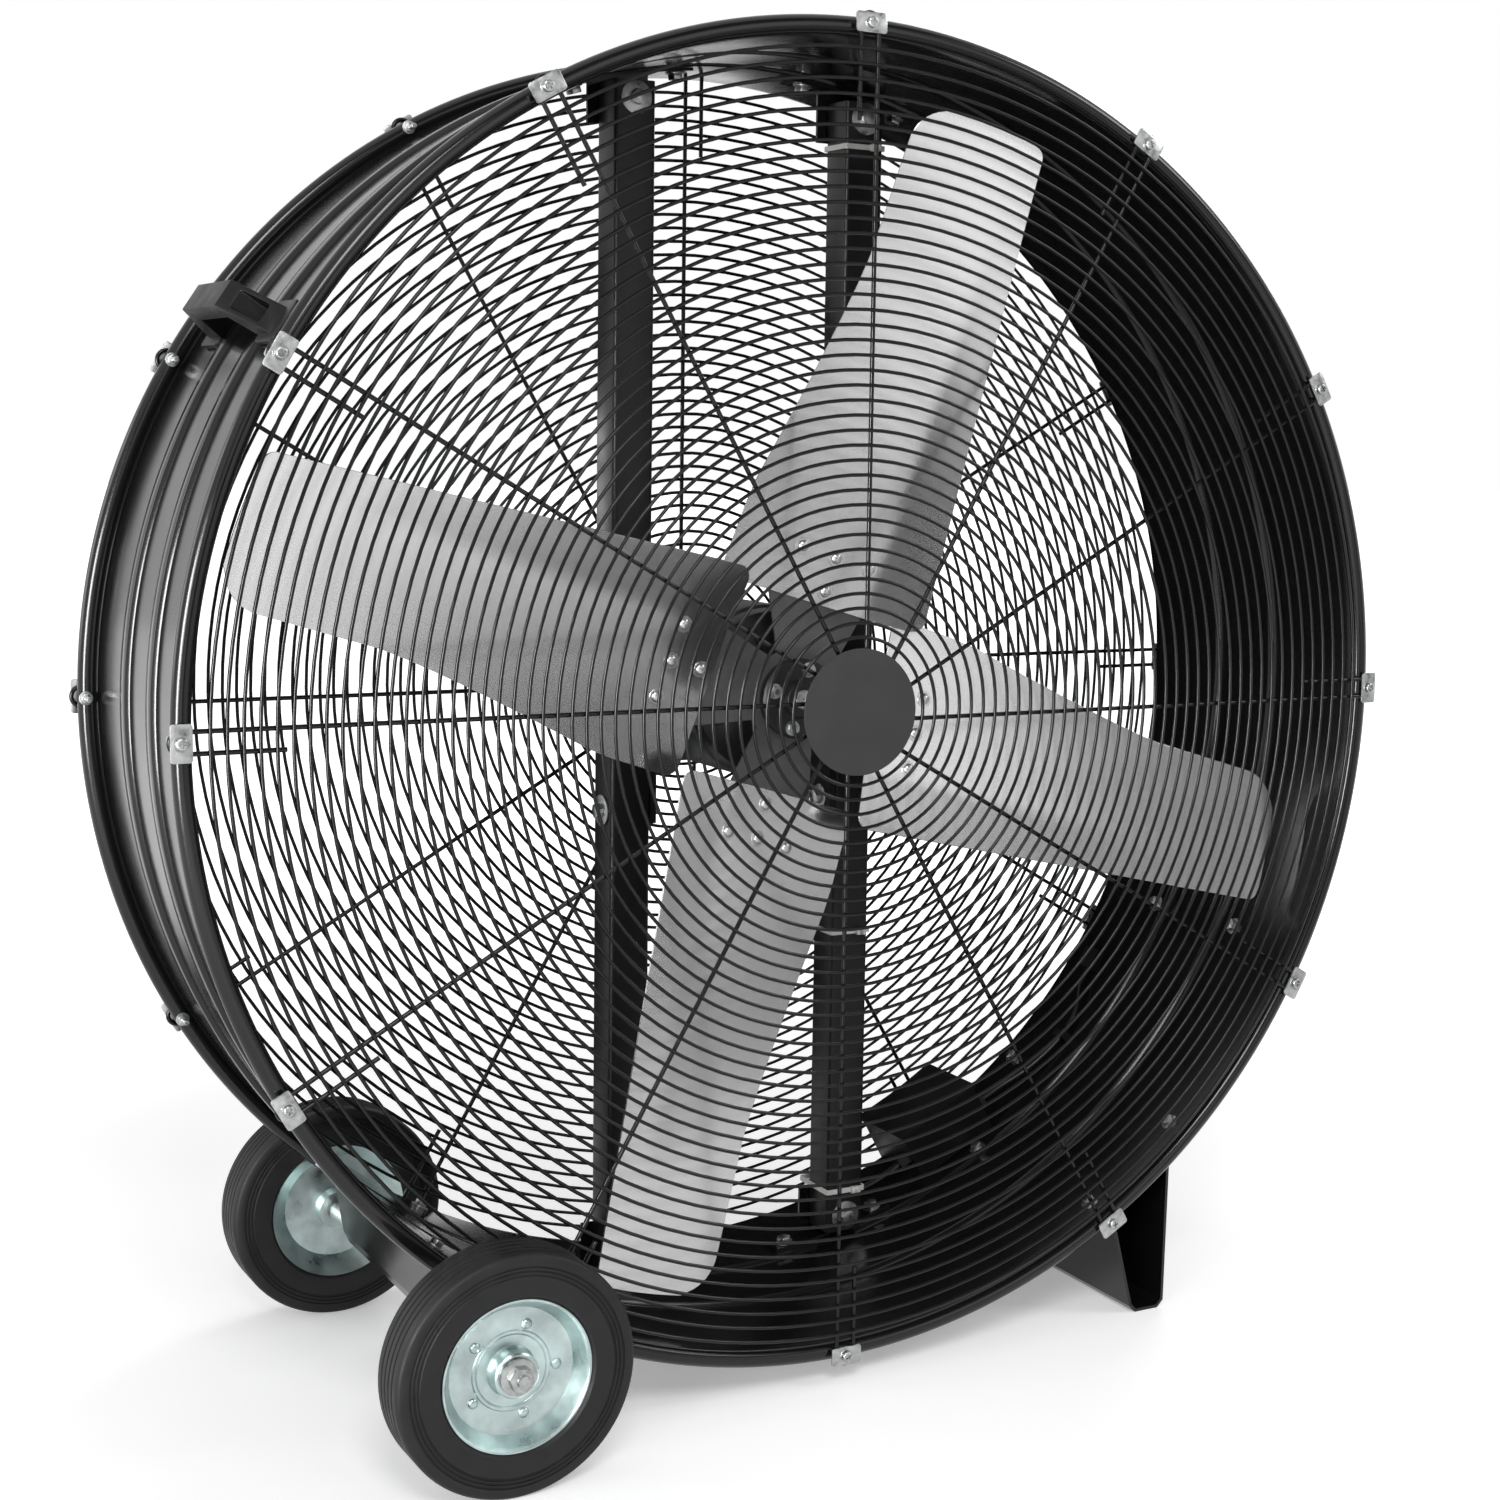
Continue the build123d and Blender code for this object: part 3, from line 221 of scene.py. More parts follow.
def edit(piece):
    """Goes into edit mode with all of a piece selected."""
    take(piece)
    bpy.ops.object.mode_set(mode="EDIT")
    bpy.ops.mesh.select_all(action="SELECT")


def tidy_mesh(piece):
    """Merges doubles and turns the faces outwards."""
    edit(piece)
    bpy.ops.mesh.remove_doubles(threshold=0.01 * MM)
    bpy.ops.mesh.normals_make_consistent(inside=False)
    bpy.ops.object.mode_set(mode="OBJECT")
    return piece


def smooth(piece, angle=35):
    """Shades a piece smooth, with hard edges where its faces turn by more than an angle."""
    take(piece)
    bpy.ops.object.shade_smooth_by_angle(angle=radians(angle))
    return piece


def with_modifier(piece, kind, **settings):
    """Adds a modifier and applies it."""
    take(piece)
    bpy.ops.object.modifier_add(type=kind)
    modifier = piece.modifiers[-1]
    for key, value in settings.items():
        setattr(modifier, key, value)
    bpy.ops.object.modifier_apply(modifier=modifier.name)
    return piece


def rounded(piece, width, segments=2, limit=30):
    """Eases the edges sharper than an angle."""
    return with_modifier(
        piece,
        "BEVEL",
        width=width,
        segments=segments,
        limit_method="ANGLE",
        angle_limit=radians(limit),
    )


def joined(name, pieces):
    """One piece made of several."""
    take(*pieces)
    if len(pieces) > 1:
        bpy.ops.object.join()
    piece = bpy.context.object
    piece.name = name
    return piece


def trace(name, points, closed=True):
    """An outline drawn from point to point, left in edit mode with all of it selected."""
    deselect()
    bpy.ops.mesh.primitive_plane_add(size=MM)
    piece = bpy.context.object
    piece.name = name
    bpy.ops.object.mode_set(mode="EDIT")
    bpy.ops.mesh.select_mode(type="VERT")
    bpy.ops.mesh.select_all(action="SELECT")
    bpy.ops.mesh.merge(type="CENTER")
    bpy.ops.transform.translate(value=Vector(points[0]))
    for before, after in zip(points, points[1:]):
        step = Vector(after) - Vector(before)
        bpy.ops.mesh.extrude_region_move(TRANSFORM_OT_translate={"value": step})
    if closed:
        last = len(points) - 1
        choose(piece, "verts", lambda vertex: vertex.index in (0, last))
        bpy.ops.mesh.edge_face_add()
    bpy.ops.mesh.select_all(action="SELECT")
    return piece


def turned(name, profile, steps, centre, closed=True):
    """A turned form: a profile of (depth, radius) spun round a line along the drum."""
    section = [Vector((centre.x, depth, centre.z + radius)) for depth, radius in profile]
    piece = trace(name, section, closed)
    bpy.ops.mesh.spin(steps=steps, angle=2 * pi, center=centre, axis=(0, 1, 0))
    bpy.ops.object.mode_set(mode="OBJECT")
    return smooth(tidy_mesh(piece))


# A direction counts as upright when this much of it points up or down.
UPRIGHT = 0.9


def is_upright(edge):
    return abs((edge.verts[0].co - edge.verts[1].co).normalized().z) > UPRIGHT


def faces_up_or_down(face):
    return abs(face.normal.z) > UPRIGHT


def block(name, size, place=(0, 0, 0), corner=0.0, segments=3):
    """A block with rounded upright edges, its middle at a place."""
    deselect()
    bpy.ops.mesh.primitive_cube_add(size=1, location=place)
    piece = bpy.context.object
    piece.name = name
    piece.scale = size
    bpy.ops.object.transform_apply(location=True, rotation=True, scale=True)
    if corner:
        edit(piece)
        choose(piece, "edges", is_upright)
        bpy.ops.mesh.bevel(offset=corner, segments=segments, affect="EDGES")
        bpy.ops.object.mode_set(mode="OBJECT")
    return piece


def drum(name, radius, height, sides=32, base=0.0):
    """A short upright cylinder that stands on z = base."""
    deselect()
    bpy.ops.mesh.primitive_cylinder_add(
        vertices=sides, radius=radius, depth=height, location=(0, 0, base + height / 2)
    )
    piece = bpy.context.object
    piece.name = name
    bpy.ops.object.transform_apply(location=True, rotation=True, scale=True)
    return piece


def twin(piece, name, placement):
    """A copy of a piece with its own mesh, at a placement."""
    copy = piece.copy()
    copy.data = piece.data.copy()
    copy.data.transform(placement)
    copy.name = name
    bpy.context.collection.objects.link(copy)
    return copy


def repeat(name, pattern, placements):
    """Copies of a pattern at each placement, each with its own mesh, joined into one piece."""
    copies = [twin(pattern, pattern.name, placement) for placement in placements]
    bpy.data.objects.remove(pattern)
    return joined(name, copies)


def cut_by(piece, cutter):
    """Takes a cutter's form out of a piece."""
    take(piece)
    bpy.ops.object.modifier_add(type="BOOLEAN")
    piece.modifiers[-1].object = cutter
    bpy.ops.object.modifier_apply(modifier=piece.modifiers[-1].name)
    bpy.data.objects.remove(cutter)


def wire(name, points, diameter, closed=False, sides=3):
    """Round wire bent along points."""
    piece = trace(name, points, closed)
    bpy.ops.object.mode_set(mode="OBJECT")
    bpy.ops.object.convert(target="CURVE")
    piece = bpy.context.object
    piece.data.bevel_depth = diameter / 2
    piece.data.bevel_resolution = sides
    piece.data.use_fill_caps = True
    bpy.ops.object.convert(target="MESH")
    return smooth(bpy.context.object, 60)


def cable(name, points, diameter):
    """A flexible cable on one smooth line that its route's points pull into shape."""
    line = bpy.data.curves.new(name, "CURVE")
    line.dimensions = "3D"
    line.resolution_u = 12
    spline = line.splines.new("NURBS")
    spline.points.add(len(points) - 1)
    for control, point in zip(spline.points, points):
        control.co = (*(Vector(point) * MM), 1)
    spline.order_u = 3
    spline.use_endpoint_u = True
    line.bevel_depth = diameter / 2
    line.bevel_resolution = 4
    line.use_fill_caps = True
    piece = bpy.data.objects.new(name, line)
    bpy.context.collection.objects.link(piece)
    take(piece)
    bpy.ops.object.convert(target="MESH")
    return smooth(bpy.context.object, 60)


def arc(centre, radius, start, end, steps):
    """Points of an arc in a plane, angles in degrees."""
    turns = [radians(start + (end - start) * step / steps) for step in range(steps + 1)]
    return [(centre[0] + radius * cos(turn), centre[1] + radius * sin(turn)) for turn in turns]


# ---------------------------------------------------------------- finishes
# Nearly all of a noise's values lie between these two.
NOISE_LOW, NOISE_HIGH = 0.3, 0.7


def toned(paint, factor):
    """A linear colour made lighter or darker by a factor on its sRGB levels."""
    levels = []
    for part in paint[:3]:
        if part <= SRGB_LOW_END / SRGB_LOW_SLOPE:
            encoded = part * SRGB_LOW_SLOPE
        else:
            encoded = SRGB_GAIN * part ** (1 / SRGB_POWER) - SRGB_SHIFT
        levels.append(min(SRGB_TOP, round(round(encoded * SRGB_TOP) * factor)))
    return linear("#" + "".join(f"{level:02x}" for level in levels))


def add_node(tree, kind, settings=None, **links):
    """A node with its settings, its inputs linked to other nodes' sockets."""
    made = tree.nodes.new(kind)
    for key, value in (settings or {}).items():
        if isinstance(key, str) and hasattr(made, key):
            setattr(made, key, value)
        else:
            made.inputs[key].default_value = value
    for key, source in links.items():
        tree.links.new(source, made.inputs[key.replace("_", " ")])
    return made


def start_finish(name, paint, metallic, roughness, **sockets):
    """A material with one surface shader. Returns the material, its tree and the shader."""
    made = bpy.data.materials.new(name)
    made.use_nodes = True
    tree = made.node_tree
    shader = tree.nodes["Principled BSDF"]
    shader.inputs["Base Color"].default_value = paint
    shader.inputs["Metallic"].default_value = metallic
    shader.inputs["Roughness"].default_value = roughness
    for key, value in sockets.items():
        shader.inputs[key.replace("_", " ")].default_value = value
    return made, tree, shader


def grain(tree, size_mm, stretch=(1, 1, 1), detail=3.0, source="Object"):
    """The value of a noise whose cells measure size_mm, stretched along the axes."""
    coordinates = add_node(tree, "ShaderNodeTexCoord")
    mapping = add_node(
        tree, "ShaderNodeMapping", {"Scale": stretch}, Vector=coordinates.outputs[source]
    )
    noise = add_node(
        tree,
        "ShaderNodeTexNoise",
        {"Scale": 1 / (size_mm * MM), "Detail": detail},
        Vector=mapping.outputs["Vector"],
    )
    return noise.outputs["Fac"]


def vary_roughness(tree, shader, noise, low, high):
    """The roughness follows a noise between two values."""
    limits = {"From Min": NOISE_LOW, "From Max": NOISE_HIGH, "To Min": low, "To Max": high}
    spread = add_node(tree, "ShaderNodeMapRange", limits, Value=noise)
    tree.links.new(spread.outputs["Result"], shader.inputs["Roughness"])


def vary_colour(tree, shader, noise, paint, darkest, lightest):
    """The colour follows a noise between two factors of one paint."""
    ramp = add_node(tree, "ShaderNodeValToRGB", Fac=noise)
    ends = ((NOISE_LOW, darkest), (NOISE_HIGH, lightest))
    for element, (position, factor) in zip(ramp.color_ramp.elements, ends):
        element.position = position
        element.color = toned(paint, factor)
    tree.links.new(ramp.outputs["Color"], shader.inputs["Base Color"])


def bump(tree, shader, noise, strength, height_mm):
    """The surface rises and falls with a noise."""
    made = add_node(
        tree, "ShaderNodeBump", {"Strength": strength, "Distance": height_mm * MM}, Height=noise
    )
    tree.links.new(made.outputs["Normal"], shader.inputs["Normal"])


def gloss_enamel(colours):
    """Stoved gloss enamel on rolled sheet: dark, clear reflections with a faint orange peel."""
    made, tree, shader = start_finish(
        "gloss_enamel", colours.enamel, metallic=0, roughness=0.18, Specular_IOR_Level=0.4
    )
    bump(tree, shader, grain(tree, size_mm=14, detail=1.0), strength=0.03, height_mm=0.06)
    vary_roughness(tree, shader, grain(tree, size_mm=60), low=0.15, high=0.2)
    return made


def coated_wire(colours):
    """Gloss coating on drawn wire: a narrow bright line along each wire."""
    made, tree, shader = start_finish(
        "coated_wire", colours.wire, metallic=0, roughness=0.16, Specular_IOR_Level=0.32
    )
    vary_roughness(tree, shader, grain(tree, size_mm=9), low=0.15, high=0.26)
    return made


def post_paint(colours):
    """Satin black paint on square tube: softer reflections than the drum's."""
    made, tree, shader = start_finish(
        "post_paint", colours.post, metallic=0, roughness=0.36, Specular_IOR_Level=0.28
    )
    bump(tree, shader, grain(tree, size_mm=4, detail=1.0), strength=0.15, height_mm=0.2)
    vary_roughness(tree, shader, grain(tree, size_mm=45), low=0.3, high=0.42)
    return made


def disc_paint(colours):
    """Flat dark grey paint on the guard discs: even, with no clear reflection."""
    made, tree, shader = start_finish(
        "disc_paint", colours.disc, metallic=0, roughness=0.6, Specular_IOR_Level=0.25
    )
    bump(tree, shader, grain(tree, size_mm=0.8), strength=0.1, height_mm=0.05)
    tone = grain(tree, size_mm=30)
    vary_colour(tree, shader, tone, colours.disc, darkest=0.97, lightest=1.03)
    return made


def zinc_plate(name, paint, cell_mm):
    """Bright zinc plating on pressed steel: pale metal with a cloudy shine."""
    made, tree, shader = start_finish(name, paint, metallic=1, roughness=0.32)
    cloud = grain(tree, cell_mm)
    vary_roughness(tree, shader, cloud, low=0.24, high=0.42)
    vary_colour(tree, shader, cloud, paint, darkest=0.86, lightest=1.06)
    bump(tree, shader, grain(tree, size_mm=0.7), strength=0.12, height_mm=0.04)
    return made


def brushed_aluminium(colours):
    """Mill-brushed aluminium: fine lines along the blade stretch each reflection across it."""
    made, tree, shader = start_finish(
        "brushed_aluminium", colours.blade, metallic=1, roughness=0.2
    )
    # The real lines are a tenth of a millimetre apart; these are as coarse as the picture shows.
    lines = grain(tree, size_mm=4, detail=1.0, stretch=(0.02, 1, 1), source="UV")
    vary_roughness(tree, shader, lines, low=0.17, high=0.23)
    cloud = grain(tree, size_mm=60, detail=1.0, stretch=(1, 0.25, 1), source="UV")
    vary_colour(tree, shader, cloud, colours.blade, darkest=0.9, lightest=1.02)
    return made


def painted_steel(name, paint, roughness):
    """Thin paint on pressed or cast steel: dull shine over a slightly uneven surface."""
    made, tree, shader = start_finish(
        name, paint, metallic=0, roughness=roughness, Specular_IOR_Level=0.45
    )
    bump(tree, shader, grain(tree, size_mm=2.5), strength=0.2, height_mm=0.15)
    vary_colour(tree, shader, grain(tree, size_mm=35), paint, darkest=0.88, lightest=1.1)
    return made


def turned_steel(colours):
    """Turned bright steel: a sharp metal shine with fine tool marks."""
    made, tree, shader = start_finish("turned_steel", colours.steel, metallic=1, roughness=0.28)
    marks = grain(tree, size_mm=0.6)
    vary_roughness(tree, shader, marks, low=0.2, high=0.36)
    bump(tree, shader, marks, strength=0.1, height_mm=0.03)
    return made


def tyre_rubber(colours):
    """Moulded solid rubber: deep grey with a soft sheen and a faint dusty bloom."""
    made, tree, shader = start_finish(
        "tyre_rubber", colours.tyre, metallic=0, roughness=0.55, Specular_IOR_Level=0.3
    )
    bump(tree, shader, grain(tree, size_mm=1.0), strength=0.25, height_mm=0.12)
    bloom = grain(tree, size_mm=18)
    vary_colour(tree, shader, bloom, colours.tyre, darkest=0.85, lightest=1.2)
    vary_roughness(tree, shader, bloom, low=0.46, high=0.64)
    return made


def moulded_plastic(colours):
    """Moulded black plastic with an even, spark-eroded grain."""
    made, tree, shader = start_finish(
        "moulded_plastic", colours.plastic, metallic=0, roughness=0.42, Specular_IOR_Level=0.22
    )
    bump(tree, shader, grain(tree, size_mm=0.9, detail=2.0), strength=0.3, height_mm=0.08)
    vary_roughness(tree, shader, grain(tree, size_mm=25), low=0.36, high=0.5)
    return made


def cable_jacket(colours):
    """Smooth extruded jacket: black with clear glints."""
    darker = toned(colours.plastic, 0.8)
    made, tree, shader = start_finish("cable_jacket", darker, metallic=0, roughness=0.3)
    vary_roughness(tree, shader, grain(tree, size_mm=2.0), low=0.24, high=0.38)
    return made


def white_nylon(colours):
    """Natural nylon of a cable tie: milky white, slightly glossy."""
    made, tree, shader = start_finish("white_nylon", colours.nylon, metallic=0, roughness=0.4)
    bump(tree, shader, grain(tree, size_mm=1.5), strength=0.2, height_mm=0.05)
    return made


FINISHES = {}


def make_finishes(colours):
    """Makes every material once; dress() and paint_node() take them by name."""
    FINISHES["enamel"] = gloss_enamel(colours)
    FINISHES["wire"] = coated_wire(colours)
    FINISHES["post"] = post_paint(colours)
    FINISHES["disc"] = disc_paint(colours)
    FINISHES["zinc"] = zinc_plate("zinc_plate", colours.zinc, cell_mm=6)
    FINISHES["rim"] = zinc_plate("blue_white_zinc", colours.rim, cell_mm=22)
    FINISHES["blade"] = brushed_aluminium(colours)
    FINISHES["spider"] = painted_steel("pressed_arm_paint", colours.spider, roughness=0.4)
    FINISHES["motor"] = painted_steel("motor_paint", colours.motor, roughness=0.42)
    FINISHES["casting"] = painted_steel("casting_paint", colours.casting, roughness=0.4)
    FINISHES["steel"] = turned_steel(colours)
    FINISHES["tyre"] = tyre_rubber(colours)
    FINISHES["plastic"] = moulded_plastic(colours)
    FINISHES["jacket"] = cable_jacket(colours)
    FINISHES["nylon"] = white_nylon(colours)


def dress(piece, finish, body, slot, *nodes):
    """Gives a finished piece its material, the body it rides on and the nodes it stands for."""
    if not piece.data.polygons:
        raise RuntimeError(f"{piece.name} came out without faces")
    piece.data.materials.clear()
    piece.data.materials.append(FINISHES[finish])
    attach(piece, body)
    if nodes:
        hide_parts(*nodes)
    return piece


def paint_node(node, finish, edge_mm=0.0):
    """A better material and eased edges on a node of the frame that stays."""
    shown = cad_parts[node]
    shown.data.materials.clear()
    shown.data.materials.append(FINISHES[finish])
    if edge_mm:
        easing = shown.modifiers.new("eased_edges", "BEVEL")
        easing.width = edge_mm * MM
        easing.segments = 2
        easing.limit_method = "ANGLE"
        easing.angle_limit = radians(40)


# ---------------------------------------------------------------- small hardware
def hex_bolt(name, flats, height, washer=0.0, washer_sheet=0.0):
    """A hexagon head on a round washer, standing on z = 0, with its edges eased."""
    head_edge, washer_edge = height * 0.12, washer_sheet * 0.3
    corner_radius = flats / sqrt(3)
    head = rounded(drum(name, corner_radius, height, 6, washer_sheet), head_edge)
    if not washer:
        return smooth(head)
    plate = rounded(drum(name + "_washer", washer, washer_sheet, 40), washer_edge)
    return smooth(joined(name, [head, plate]))


def cross_screw(name, radius, height):
    """A pan head with a cross recess, standing on z = 0."""
    head = rounded(drum(name, radius, height, 24), height * 0.45, 4)
    slot_length, slot_width = radius * 1.15, radius * 0.26
    arms = [
        block("arm", (slot_length, slot_width, height), (0, 0, height)),
        block("arm", (slot_width, slot_length, height), (0, 0, height)),
    ]
    for arm in arms:
        cut_by(head, arm)
    return smooth(head)


def dome(name, radius, height):
    """A low round rivet head standing on z = 0."""
    deselect()
    bpy.ops.mesh.primitive_uv_sphere_add(segments=20, ring_count=12, radius=radius)
    piece = bpy.context.object
    piece.name = name
    piece.scale = (1, 1, height / radius)
    bpy.ops.object.transform_apply(location=True, rotation=True, scale=True)
    edit(piece)
    bpy.ops.mesh.bisect(plane_co=(0, 0, 0), plane_no=(0, 0, 1), clear_inner=True, use_fill=True)
    bpy.ops.object.mode_set(mode="OBJECT")
    return smooth(piece)


# ---------------------------------------------------------------- operators
class DRUMFAN_OT_shell(bpy.types.Operator):
    """Rolls the drum with its two pressed ribs and the round bead at each end"""

    bl_idname = "drumfan.shell"
    bl_label = "Drum Shell"

    def execute(self, context):
        sizes = context.scene.drum_fan_sizes
        wall, sheet, bead = sizes.drum_radius, sizes.drum_sheet, sizes.bead_diameter / 2
        rib, half_rib, rise = sizes.rib_offset, sizes.rib_width / 2, sizes.rib_height
        flank = 3 * MM
        # The points beside each bend hold the shading of the straight wall between them flat.
        support = 3 * MM
        outer = [
            (rib - half_rib - support, wall),
            (rib - half_rib - MM, wall),
            (rib - half_rib, wall + 0.3 * MM),
            (rib - half_rib + flank - MM, wall + rise - 0.5 * MM),
            (rib - half_rib + flank, wall + rise),
            (rib + half_rib - flank, wall + rise),
            (rib + half_rib - flank + MM, wall + rise - 0.5 * MM),
            (rib + half_rib, wall + 0.3 * MM),
            (rib + half_rib + MM, wall),
            (rib + half_rib + support, wall),
        ]
        bead_centre = (HALF_DEPTH - bead, wall + bead - 0.5 * MM)
        curl = arc(bead_centre, bead, 225, -90, 20)
        inner = [(depth, radius - sheet) for depth, radius in reversed(outer)]
        wall_end = bead_centre[0] - bead
        beside = [(wall_end - support, wall), (wall_end, wall)]
        half = [*outer, *beside, *curl, (wall_end, wall - sheet), *inner]
        other_half = [(-depth, radius) for depth, radius in reversed(half)]
        outer_count = len(outer) + len(beside) + len(curl)
        inner_half = half[outer_count:]
        section = (
            half[:outer_count]
            + inner_half
            + [(-depth, radius) for depth, radius in reversed(inner_half)]
            + other_half[-outer_count:]
        )
        piece = turned("drum", section, 288, Vector((0, 0, AXIS_HEIGHT)))
        dress(piece, "enamel", "drum", "black_enamel", "drum_shell")
        return {"FINISHED"}


class DRUMFAN_OT_guards(bpy.types.Operator):
    """Winds the wire guards: rings, hairpin spokes and a plain disc, front and rear alike"""

    bl_idname = "drumfan.guards"
    bl_label = "Wire Guards"

    def execute(self, context):
        sizes = context.scene.drum_fan_sizes
        spoke_depth = HALF_DEPTH + sizes.spoke_wire / 2
        ring_depth = HALF_DEPTH + sizes.spoke_wire + sizes.ring_wire / 2
        # A wide ring is drawn with more sides than a narrow one.
        least_sides, more_sides = 48, 96
        rings = []
        for number in range(sizes.ring_count):
            radius = sizes.first_ring + sizes.ring_pitch * number
            deselect()
            bpy.ops.mesh.primitive_torus_add(
                major_radius=radius,
                minor_radius=sizes.ring_wire / 2,
                major_segments=int(least_sides + more_sides * radius / sizes.screw_circle),
                minor_segments=8,
                location=(0, -ring_depth, AXIS_HEIGHT),
                rotation=(pi / 2, 0, 0),
            )
            bpy.ops.object.transform_apply(location=True, rotation=True, scale=True)
            rings.append(bpy.context.object)
        rings = smooth(joined("front_guard_rings", rings), 80)

        circle, leg = sizes.screw_circle, sizes.spoke_leg
        # A hairpin starts under the disc, bends round its screw and comes back a short way.
        start, before_bend = sizes.disc_radius * 0.85, circle - 90 * MM
        after_bend, end = circle - 40 * MM, circle - 81 * MM
        path = [(leg, start), (leg, before_bend)]
        path += arc((0, circle), leg, 0, 180, 12)
        path += [(-leg, after_bend), (-leg, end)]
        points = [Vector((x, y, 0)) for x, y in path]
        spoke = wire("front_guard_spokes", points, sizes.spoke_wire)
        step = 360 / sizes.spoke_count
        middle = Vector((0, -spoke_depth, AXIS_HEIGHT))
        places = [
            stand(middle, (0, -1, 0), clockwise(step * number))
            for number in range(sizes.spoke_count)
        ]
        spokes = repeat("front_guard_spokes", spoke, places)

        disc_sheet, disc_edge = 1.8 * MM, 0.6 * MM
        disc_middle = Vector((0, -ring_depth - sizes.ring_wire / 2, AXIS_HEIGHT))
        disc = drum("disc", sizes.disc_radius, disc_sheet, sides=96)
        disc = smooth(rounded(disc, disc_edge, 3))
        disc = repeat("front_guard_disc", disc, [stand(disc_middle, (0, -1, 0), (1, 0, 0))])

        half_turn = Matrix.Rotation(pi, 4, "Z")
        for piece, finish, nodes in (
            (rings, "wire", ["front_guard"]),
            (spokes, "wire", ["front_guard_spokes"]),
            (disc, "disc", []),
        ):
            rear = twin(piece, piece.name.replace("front", "rear"), half_turn)
            dress(piece, finish, "drum", "guard_wire", *nodes)
            rear_nodes = [node.replace("front", "rear") for node in nodes]
            dress(rear, finish, "drum", "guard_wire", *rear_nodes)
        return {"FINISHED"}


class DRUMFAN_OT_clips(bpy.types.Operator):
    """Presses the guard clips, with their screws, and the washers and nuts behind the beads"""

    bl_idname = "drumfan.clips"
    bl_label = "Guard Clips"

    def execute(self, context):
        sizes = context.scene.drum_fan_sizes
        step = 360 / sizes.spoke_count
        face = HALF_DEPTH + sizes.spoke_wire
        clip_angles = [step * number for number in range(sizes.spoke_count)]
        places = [
            stand(spot(angle, sizes.screw_circle, -face), (0, -1, 0), clockwise(angle))
            for angle in clip_angles
        ]
        plate_size = (sizes.clip_length, sizes.clip_width, sizes.clip_sheet)
        corner, edge = 2.5 * MM, 0.35 * MM
        plate = block("clip", plate_size, (0, 0, sizes.clip_sheet / 2), corner)
        plate = smooth(rounded(plate, edge))
        seat_radius, seat_height, seat_edge = 6.6 * MM, 0.5 * MM, 0.2 * MM
        seat = drum("seat", seat_radius, seat_height, 32, base=sizes.clip_sheet)
        seat = rounded(seat, seat_edge, 1)
        plate = joined("clip", [plate, seat])
        front = repeat("front_clip_plates", plate, places)
        rear = twin(front, "rear_clip_plates", Matrix.Rotation(pi, 4, "Z"))
        dress(front, "zinc", "drum", "zinc_plate", "front_clips")
        dress(rear, "zinc", "drum", "zinc_plate", "rear_clips")

        lift = Matrix.Translation((0, 0, sizes.clip_sheet + seat_height))
        # Each screw is driven home at an angle of its own, in radians.
        own_turn = 37
        head_places = [
            place @ lift @ Matrix.Rotation(own_turn * number, 4, "Z")
            for number, place in enumerate(places)
        ]
        screw = cross_screw("screw", radius=5 * MM, height=3.4 * MM)
        heads = repeat("clip_screw_heads", screw, head_places + rear_of(head_places))
        dress(heads, "zinc", "drum", "zinc_plate", "clip_screws")

        behind = HALF_DEPTH - sizes.bead_diameter
        nut_places = [
            stand(spot(angle, sizes.screw_circle, -behind), (0, 1, 0), clockwise(angle))
            for angle in clip_angles
        ]
        nut = hex_bolt("nut", flats=8 * MM, height=4 * MM, washer=6 * MM, washer_sheet=1 * MM)
        tail = drum("tail", radius=2.4 * MM, height=12 * MM, sides=16, base=4 * MM)
        nut = joined("nut", [nut, rounded(tail, 0.5 * MM, 1)])
        nuts = repeat("clip_screw_nuts", nut, nut_places + rear_of(nut_places))
        dress(nuts, "zinc", "drum", "zinc_plate")
        return {"FINISHED"}


